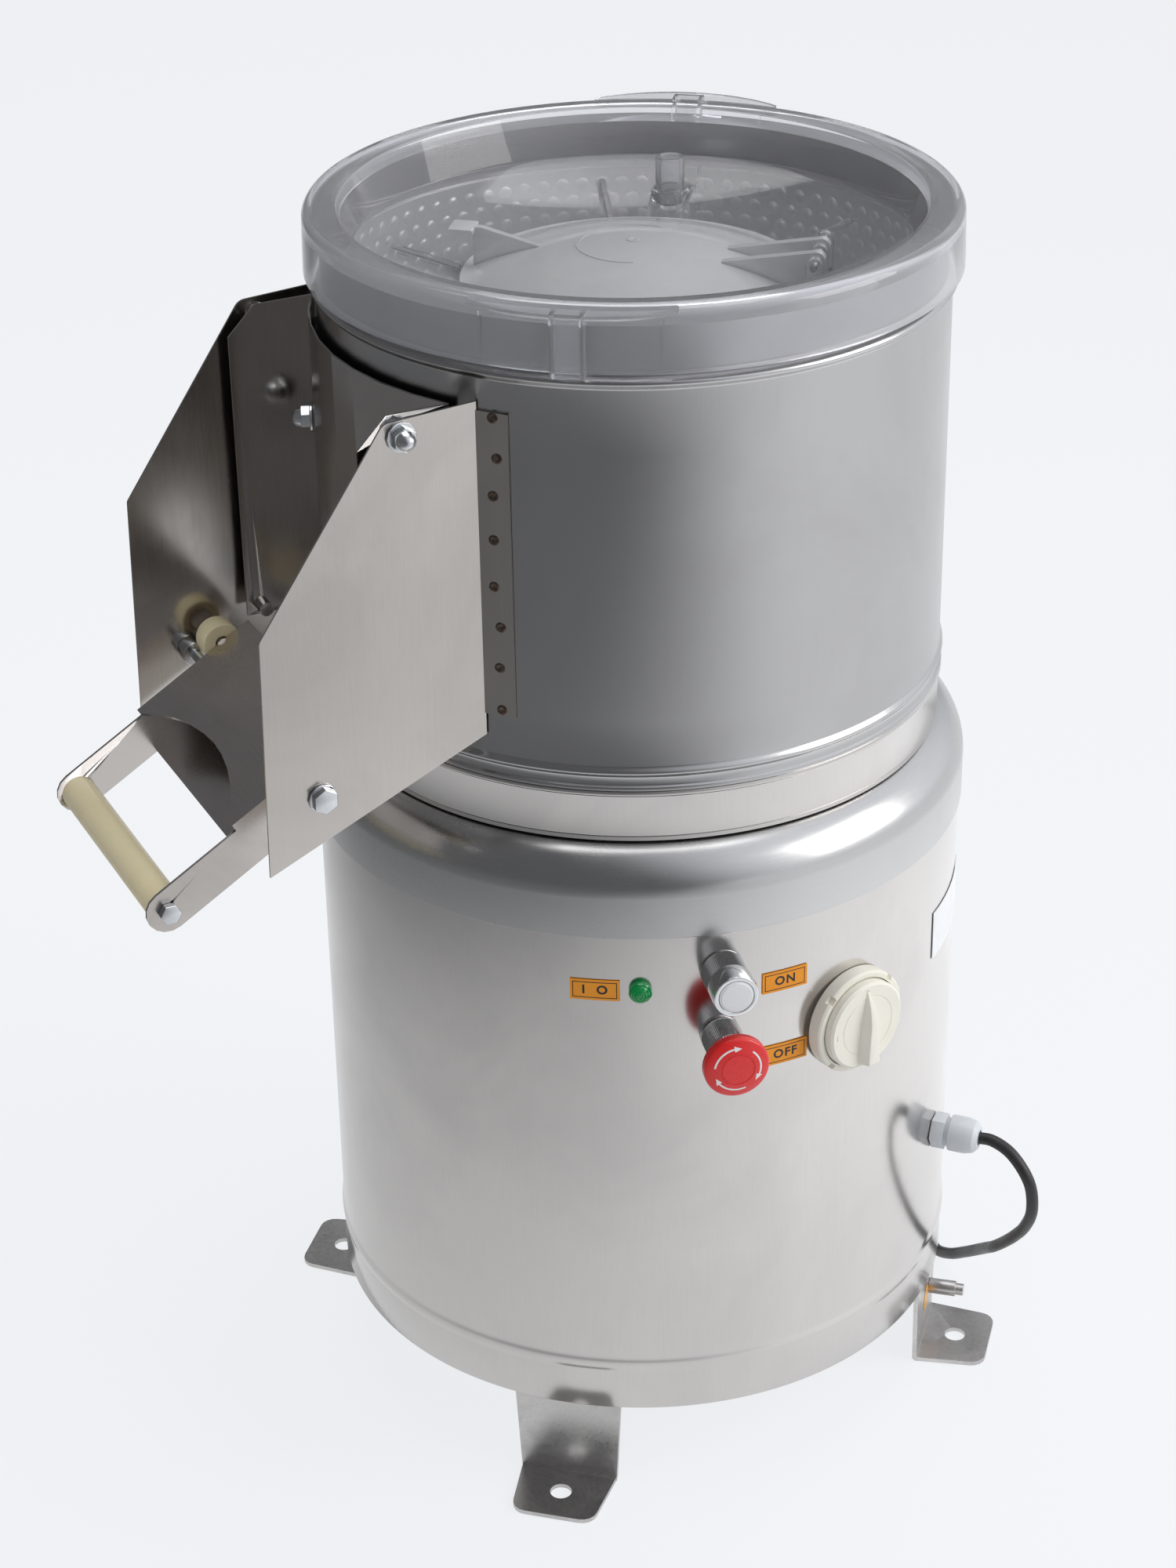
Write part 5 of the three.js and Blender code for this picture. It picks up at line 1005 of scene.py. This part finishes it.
flap_outline = [
    (0, flap_top - flap_sheet), *arc(0, dome_centre, dome_sphere - flap_sheet, 90, 90 - dome_angle, 24)[1:],
    (mouth_radius, rim_height), (flap_radius - 0.6, rim_height), (flap_radius, rim_height + 0.6),
    (flap_radius, rim_height + rim_rise - 0.6), (flap_radius - 0.6, rim_height + rim_rise),
    *arc(0, dome_centre, dome_sphere, 90 - dome_angle, 90, 24)[:-1], (0, flap_top),
]
flap_extras = []
gusset_from, gusset_width = 55, 6
for across in (-12, 12):
    gusset = [
        (gusset_from, dome_height(gusset_from) - 1), (gusset_from, dome_height(gusset_from) + 0.3),
        (hinge_reach - 1.5, hinge_height + 4.7), *arc(hinge_reach, hinge_height, lug_radius, 100, -90, 12),
        (flap_radius, rim_height + rim_rise / 2), (dome_radius, rim_height + rim_rise / 2),
    ]
    side_place = spoke(flap_azimuth) @ Matrix.Translation((0, across + gusset_width / 2, 0)) @ upright
    flap_extras.append(prism(gusset, gusset_width, side_place))
fin_place = spoke(flap_azimuth + 180)
fin_from, fin_to, fin_top, fin_width, fin_sink = 54, 97, 776.6, 5, 1.2
fin = [
    (fin_from, dome_height(fin_from) - fin_sink), (fin_to, dome_height(fin_to) - fin_sink), (fin_to, fin_top),
    (fin_to - 5, fin_top),
]
flap_extras.append(prism(fin, fin_width, fin_place @ Matrix.Translation((0, fin_width / 2, 0)) @ upright))
thumb_from, thumb_to, thumb_width = 95.8, 111.2, 18.2
thumb = eased([
    (thumb_from, flap_top), (thumb_to, flap_top), (thumb_to, flap_top + 4), (thumb_from, fin_top),
], 1.2)
thumb_place = fin_place @ Matrix.Translation((0, thumb_width / 2, 0)) @ upright
flap_extras.append(prism(thumb, thumb_width, thumb_place))
flap_cuts = [bore(pin_bore, -pin_reach, pin_reach, hinge_place @ along_y, 20)]
flap_form = welded("flap", turned(flap_outline, steps=128), flap_extras, flap_cuts)
shown("milky_flap", flap_form, milky, "flap", ["loading_flap"], angle=30, outward=False)

mark_form = bmesh.new()
mark_rings = []
mark_start, mark_sweep, mark_steps = -27, 211, 64
for k in range(mark_steps + 1):
    azimuth = mark_start - mark_sweep * k / mark_steps
    out = wall(0, azimuth).col[2].to_3d()
    ring = []
    for radius, lift in ((31.5, -0.3), (31.7, 0.45), (34.3, 0.45), (34.5, -0.3)):
        ring.append(mark_form.verts.new(out * radius + Vector((0, 0, dome_height(radius) + lift))))
    mark_rings.append(ring)
skinned(mark_form, mark_rings)
gate_outline = [(0, -0.2), (4, -0.2), (4, 0.3), (3.4, 0.5), (1.6, 0.5), (1, 0.1), (0, 0.1)]
turned([(radius, flap_top + lift) for radius, lift in gate_outline], into=mark_form, steps=32)
shown("flap_marks", mark_form, milky, "flap")

# Start button: a chrome-plated barrel with a knurled grip behind and a smooth bright ring in front, with a
# white cap.
chrome = finish("chrome", (0.78, 0.79, 0.80), (0.66, 0.66, 0.66), 0.12, 1.0, grain_depth=0.05, patch_size=90,
                spread=0.08, bump=0.04)
white_cap = finish("white_cap", (0.80, 0.81, 0.82), (0.72, 0.73, 0.74), 0.3, grain_depth=0.03, patch_size=60,
                   relief=0.00005)
start_place = wall(housing_radius, -12.8, 388)
start_outline = eased([
    (0, -28), (11, -28), (11, 0.3), (13.2, 0.3), (13.2, 17.5), (14, 18), (14, 26.8), (13.4, 31.5),
    (10.8, 31.5), (10.8, 17.5), (0, 17.5),
], 0.5, closed=False)
shown("start_sleeve", turned(start_outline, start_place, 96), chrome, replaces=["start_barrel"])


def knurl_tree():
    """Sets straight ridges round a barrel."""
    tree = growing_tree("knurled_ring", (
        ("Count", "Int"), ("Radius", "Float"), ("Low", "Float"), ("Length", "Float"), ("Ridge", "Float"),
        ("Finish", "Material"),
    ))
    given = wired(tree, "NodeGroupInput").outputs
    circle = wired(tree, "GeometryNodeMeshCircle", {"Vertices": given["Count"], "Radius": given["Radius"]})
    here = wired(tree, "GeometryNodeInputPosition")
    facing = wired(tree, "FunctionNodeAlignRotationToVector", {"Vector": here.outputs[0]}, axis="X")
    kept = wired(tree, "GeometryNodeStoreNamedAttribute", {
        "Geometry": circle.outputs[0], "Name": "facing", "Value": facing.outputs[0],
    }, data_type="QUATERNION", domain="POINT")
    turned_to = wired(tree, "GeometryNodeInputNamedAttribute", {"Name": "facing"}, data_type="QUATERNION")
    ridge = wired(tree, "GeometryNodeMeshCone", {
        "Vertices": 4, "Side Segments": 1, "Radius Top": given["Ridge"], "Radius Bottom": given["Ridge"],
        "Depth": given["Length"],
    })
    raised = wired(tree, "ShaderNodeCombineXYZ", {"Z": given["Low"]})
    stood = wired(tree, "GeometryNodeTransform",
                  {"Geometry": ridge.outputs[0], "Translation": raised.outputs[0]})
    set_out = wired(tree, "GeometryNodeInstanceOnPoints", {
        "Points": kept.outputs[0], "Instance": stood.outputs[0], "Rotation": turned_to.outputs[0],
    })
    real = wired(tree, "GeometryNodeRealizeInstances", {"Geometry": set_out.outputs[0]})
    coloured = wired(tree, "GeometryNodeSetMaterial",
                     {"Geometry": real.outputs[0], "Material": given["Finish"]})
    wired(tree, "NodeGroupOutput", {"Geometry": coloured.outputs[0]})
    return tree


knurl = knurl_tree()


def knurled(name, place, count, radius, low, length, ridge, material, body="machine"):
    piece = grown(name, knurl, {
        "Count": count, "Radius": radius, "Low": float(low), "Length": float(length), "Ridge": ridge,
        "Finish": material,
    }, body)
    piece.data.transform(to_scene @ place @ to_scene.inverted())
    return piece


knurled("start_knurl", start_place, 80, 13.2, 1, 16, 0.5, chrome)
cap_face = eased([(0, 23.3), (10.5, 23.3), (10.5, 31.6), (9.6, 31.6), (9.2, 32.1), (0, 32.1)], 0.25,
                 closed=False)
shown("start_face", turned(cap_face, start_place, 64), white_cap, "start_button", ["start_cap"])

# Stop button: a chrome-plated knurled neck, a grey stem and a red mushroom head with a toothed rim, a sunk
# ring round its middle and three white arrows that show which way it is twisted free.
stop_place = wall(housing_radius, -13.1, 343)
neck_outline = eased([(7.3, -28), (11, -28), (11, 0.3), (12, 0.3), (12, 20.6), (11.2, 22), (7.3, 22)], 0.4)
shown("stop_sleeve", turned(neck_outline, stop_place, 96), chrome, replaces=["stop_neck"])
knurled("stop_knurl", stop_place, 72, 12, 2, 18, 0.48, chrome)
grey_stem = finish("grey_stem", (0.35, 0.36, 0.37), (0.28, 0.28, 0.28), 0.45, grain_depth=0.08, patch_size=60)
wear("stop_stem", grey_stem)
red_plastic = finish("red_plastic", (0.76, 0.018, 0.018), (0.62, 0.013, 0.013), 0.3, grain=(700, 700, 700),
                     grain_depth=0.05, patch_depth=0.4, patch_size=40, relief=0.00005, Coat_Weight=0.2)
head_outline = [
    (0, 35), (7.3, 35), (7.3, 28.5), *eased([(7.3, 28.5), (16.2, 28.5), (19.4, 31.5)], 1, closed=False)[1:],
    (19.6, 34), (20, 34.6), (20, 36.6), *arc(17.8, 36.6, 2.2, 0, 62, 5), (14, 39.7), (10.6, 40.3),
    (10.4, 40.0), (9.8, 40.0), (9.6, 40.4), (6, 40.6), (0, 40.7),
]
shown("stop_mushroom", turned(head_outline, stop_place, 96), red_plastic, "stop_button", ["stop_head"])
knurled("stop_teeth", stop_place, 84, 19.45, 31.8, 2.4, 0.45, red_plastic, "stop_button")
printed_white = finish("printed_white", (0.84, 0.83, 0.81), (0.78, 0.76, 0.74), 0.4, grain_depth=0.04,
                       patch_size=80, bump=0.05)


def head_height(radius):
    return 40.32 + (10.6 - radius) * 0.6 / 3.4 if radius < 14 else 39.72 - (radius - 14) * 1.1 / 5


arrow_form = bmesh.new()
arrow_radius = 14.2
for start in (170, 50, -70):
    columns = [(start - 72 * k / 18, 0.55) for k in range(19)] + [(start - 72, 1.9), (start - 90, 0.05)]
    rings = []
    for angle, half in columns:
        turned_by = math.radians(angle)
        ring = []
        for radius in (arrow_radius - half, arrow_radius + half):
            for lift in (-0.3, 0.12):
                level = head_height(radius) + lift
                spot = Vector((radius * math.cos(turned_by), radius * math.sin(turned_by), level))
                ring.append(arrow_form.verts.new(stop_place @ spot))
        rings.append([ring[0], ring[1], ring[3], ring[2]])
    skinned(arrow_form, rings)
shown("stop_arrows", arrow_form, printed_white, "stop_button")

# Rotary switch: a matt ivory plastic ring with notches for the shut-off positions, and a dial with a raised
# pointer. The dial has a groove round its middle and the marks 0 and 1 moulded into its face.
ivory = finish("ivory", (0.86, 0.835, 0.735), (0.80, 0.77, 0.67), 0.42, grain_depth=0.04, patch_depth=0.4,
               patch_size=30, bump=0.2, relief=0.00006)
rotary_place = wall(housing_radius, 12.1, 330.7)
ring_outline = eased([
    (8.3, -32), (12, -32), (12, 0.3), (34, 0.3), (34, 8.6), (32.8, 10), (29.6, 10), (29.6, 5), (8.3, 5),
], 0.6)
notches = [
    prism([(31, -2.2), (37, -3.5), (37, 3.5), (31, 2.2)], 5,
          rotary_place @ Matrix.Rotation(math.radians(turn), 4, "Z") @ Matrix.Translation((0, 0, 6)))
    for turn in (45, 135, 225, 315)
]
ring_form = welded("rotary", turned(ring_outline, rotary_place, 120), [], notches)
shown("rotary_surround", ring_form, ivory, replaces=["rotary_ring"], outward=False)
dial_outline = [
    (0, -31.7), (8, -31.7), (8, 5.3),
    *eased([(8, 5.3), (29, 5.3), (29, 14.4), (27.4, 16)], 0.4, closed=False)[1:],
    (20.3, 16), (20, 15.7), (19.5, 15.7), (19.2, 16), (0, 16),
]
pointer = bmesh.new()
rows = (
    (24.5, 1.2, 16.3, 0.6), (14, 3.4, 20.6, 1.5), (4, 5.2, 23.0, 2.6), (-10, 6.6, 23.3, 3.6),
    (-24.3, 7.5, 23.3, 4.4),
)
sections = []
for y, foot_half, top, top_half in rows:
    sections.append([
        pointer.verts.new(rotary_place @ Vector(corner))
        for corner in ((-foot_half, y, 15.2), (foot_half, y, 15.2), (top_half, y, top), (-top_half, y, top))
    ])
skinned(pointer, sections)
bmesh.ops.recalc_face_normals(pointer, faces=pointer.faces)
long_edges = [line for line in pointer.edges if line.calc_face_angle(0) > math.radians(25)]
rounded(pointer, long_edges, 0.5, 3, 0.5)
dial_form = welded("dial", turned(dial_outline, rotary_place, 120), [pointer])
shown("rotary_knob", dial_form, ivory, "rotary_switch", ["rotary_dial"], outward=False)


def lettering(name, text, size, depth, material, fit, body="machine", weight=0.0):
    """Generic marks as thin raised plastic; fit takes a flat point of the text to its place."""
    words = bpy.data.curves.new(name, "FONT")
    words.body = text
    words.size = size
    words.extrude = depth
    words.offset = size * weight
    words.space_character = 1 + weight * 6
    words.align_x = "CENTER"
    words.align_y = "CENTER"
    words.resolution_u = 4
    holder = placed(name, words)
    flat = baked(holder)
    bpy.data.objects.remove(holder)
    form = bmesh.new()
    form.from_mesh(flat)
    bpy.data.meshes.remove(flat)
    bmesh.ops.remove_doubles(form, verts=form.verts, dist=1e-4)
    bmesh.ops.triangulate(form, faces=form.faces)
    for _ in range(2):
        long_lines = [line for line in form.edges if line.calc_length() > size * 0.3]
        if long_lines:
            bmesh.ops.subdivide_edges(form, edges=long_lines, cuts=1)
            bmesh.ops.triangulate(form, faces=form.faces)
    for corner in form.verts:
        corner.co = fit(corner.co)
    return shown(name, form, material, body, angle=20)


for text, x, y in (("0", 0, 24), ("1", -24, 0)):
    lettering(f"dial_mark_{text}", text, 5.4, 0.22, ivory,
              lambda co, x=x, y=y: rotary_place @ Vector((co.x + x, co.y + y, 16.1 + co.z)), "rotary_switch")

# Mains lamp: a clear green lens with moulded rings, in a small bezel of its own colour.
# The lens glows faintly with a painted green light; the lamp itself is not lit.
green_lens = finish("green_lens", (0.0, 0.27, 0.06), (0.0, 0.18, 0.04), 0.12, grain=(500, 500, 500),
                    grain_depth=0.3, patch_depth=0.5, patch_size=200, bump=0.3, relief=0.0002,
                    Coat_Weight=0.5, Emission_Color=(0.0, 0.3, 0.08, 1), Emission_Strength=0.09)
lens_outline = [
    (0, -20), (4, -20), (4, 0.3), (7, 0.3), (7, 3.4), (6.4, 4.4), (6.0, 4.2), (5.8, 5.2), (5.0, 6.2),
    (4.8, 6.0), (4.4, 6.9), (3.4, 7.4), (3.2, 7.0), (2.7, 7.5), (1.6, 7.8), (1.4, 7.3), (0, 7.3),
]
shown("lamp_dome", turned(lens_outline, wall(housing_radius, -26.6, 377.8), 48), green_lens,
      replaces=["lamp_lens"], angle=20)

# Name plates: orange printed film, each with a black frame line and plain marks. The plate on the side is
# bare white film.
label_film = finish("label_film", (0.90, 0.33, 0.012), (0.82, 0.29, 0.01), 0.55, grain_depth=0.04,
                    patch_depth=0.4, patch_size=60, bump=0.05)
black_print = finish("black_print", (0.025, 0.02, 0.018), (0.05, 0.04, 0.035), 0.5, patch_size=80, bump=0.05)
white_film = finish("white_film", (0.80, 0.81, 0.83), (0.72, 0.73, 0.75), 0.35, grain_depth=0.04,
                    patch_depth=0.4, patch_size=30, bump=0.05)
label_half, label_rise = 15, 7
label_film_back, label_film_face = housing_radius + 0.3, housing_radius + 0.8


def film(azimuth, height, half, rise, low, high, into=None):
    degrees = math.degrees(half / housing_radius)
    return wall_sector(low, high, azimuth - degrees, azimuth + degrees, height - rise, height + rise, into,
                       360)


for node, azimuth, height, text in (
    ("label_mains", -34.2, 377.6, "I  O"), ("label_start", -1.6, 373, "ON"), ("label_stop", -1.4, 321, "OFF"),
):
    shown(f"{node}_film", film(azimuth, height, label_half, label_rise, label_film_back, label_film_face),
          label_film, replaces=[node])
    border = bmesh.new()
    for x_low, x_high, y_low, y_high in (
        (-13.4, 13.4, 5.0, 5.5), (-13.4, 13.4, -5.5, -5.0), (-13.4, -12.9, -5.5, 5.5),
        (12.9, 13.4, -5.5, 5.5),
    ):
        wall_sector(label_film_face - 0.05, label_film_face + 0.06,
                    azimuth + math.degrees(x_low / housing_radius),
                    azimuth + math.degrees(x_high / housing_radius), height + y_low, height + y_high, border,
                    360)
    shown(f"{node}_border", border, black_print)

    def on_the_wall(co, azimuth=azimuth, height=height):
        return wall(label_film_face + co.z, azimuth + math.degrees(co.x / housing_radius),
                    height + co.y).translation

    lettering(f"{node}_mark", text, 8.2, 0.07, black_print, on_the_wall, weight=0.03)
side_azimuth, side_height, side_half, side_rise = 48, 344.7, 39, 16.7
side_form = film(side_azimuth, side_height, side_half, side_rise, label_film_back, housing_radius + 0.7)
shown("side_film", side_form, white_film, replaces=["side_plate"])

# Cable gland: light grey nylon, with a hexagon body, a clamp nut and a tapered throat. The cord leaves it
# straight.
gland_plastic = finish("gland_plastic", (0.68, 0.71, 0.74), (0.60, 0.63, 0.66), 0.38, grain_depth=0.05,
                       patch_depth=0.4, patch_size=40, bump=0.15)
gland_place = wall(housing_radius, 42.5, 186.6)
gland_outline = [
    (0, -14), (8, -14), (8, 9), (9.4, 9), (9.4, 12),
    *eased([(9.4, 12), (12, 12), (12, 22.6), (10.6, 28.4), (7.6, 31.3), (5, 31.3)], 1.0, closed=False)[1:],
    (5, 26), (0, 26),
]
nut_outline = [(12 * math.cos(math.pi * k / 3), 12 * math.sin(math.pi * k / 3)) for k in range(6)]
nut_form = prism(nut_outline, 9, gland_place @ Matrix.Translation((0, 0, 0.3)))
bmesh.ops.recalc_face_normals(nut_form, faces=nut_form.faces)
rounded(nut_form, list(nut_form.edges), 0.5, 2, 0.6)
gland_form = welded("gland", turned(gland_outline, gland_place, 72), [nut_form])
shown("cord_gland", gland_form, gland_plastic, replaces=["cable_gland"], outward=False)

# Plug: a moulded black rubber plug with two round pins, lying at the end of the coil, its ribbed sleeve on
# the cord.
flex_rubber = finish("flex_rubber", (0.022, 0.021, 0.022), (0.045, 0.043, 0.042), 0.42, grain=(700, 700, 700),
                     grain_depth=0.2, patch_depth=0.4, patch_size=60, spread=0.12, bump=0.15, relief=0.0001)
plug_spot = (coil_x + coil_lead + 0.3, coil_y + coil_radius, plug_height)
plug_place = Matrix.Translation(plug_spot) @ Matrix.Rotation(math.pi / 2, 4, "Y")
sleeve = [(0, 0), (6.2, 0), (6.6, 0.6)]
for number in range(5):
    base = 3 + 5 * number
    swell_radius = 7 + 0.5 * number
    sleeve += [(swell_radius, base), (swell_radius, base + 2.6), (swell_radius - 1.3, base + 3.1),
               (swell_radius - 1.3, base + 4.5)]
plug_outline = sleeve + [
    (9.6, 28.5), (12, 30.5), *arc(13, 35, 4, -60, 0, 4), (17, 52), (16.2, 53), (16.2, 55), (17, 56),
    (17, 64.6), (15.6, 66), (0, 66),
]
plug_form = turned(plug_outline, plug_place, 72)
plug_piece = shown("plug_body", plug_form, flex_rubber, replaces=["mains_plug"])
pin_form = bmesh.new()
for side in (-1, 1):
    pin = [(0, 64), (2.4, 64), (2.4, 83.2), (1.6, 85), (0, 85)]
    turned(pin, plug_place @ Matrix.Translation((0, side * 9.5, 0)), 32, pin_form)
pin_piece = shown("plug_pins", pin_form, bright_zinc)
tie_form = bmesh.new()
tie_low, tie_high, tie_top = 31.7, 52.0, 17.2
tie_path = eased([(tie_low, 0.12), (tie_high, 0.12), (tie_high, tie_top), (tie_low, tie_top)], 4.6, 5)
tie_ring = []
for k, (x, z) in enumerate(tie_path):
    middle = Vector(((tie_low + tie_high) / 2, tie_top / 2))
    inward = (middle - Vector((x, z))).normalized() * 0.25
    place = Vector((coil_x, coil_y, 0))
    tie_ring.append([
        tie_form.verts.new(place + Vector((side, -px, pz)))
        for side, px, pz in (
            (-3.5, x, z), (3.5, x, z), (3.5, x + inward.x, z + inward.y), (-3.5, x + inward.x, z + inward.y),
        )
    ])
for k in range(len(tie_ring)):
    near, far = tie_ring[k], tie_ring[(k + 1) % len(tie_ring)]
    for i in range(4):
        tie_form.faces.new((near[i], near[(i + 1) % 4], far[(i + 1) % 4], far[i]))
shown("coil_tie", tie_form, case_plastic)
cord_curve.materials.append(flex_rubber)
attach(flex, "machine")
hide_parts("mains_cord", "cord_coil")
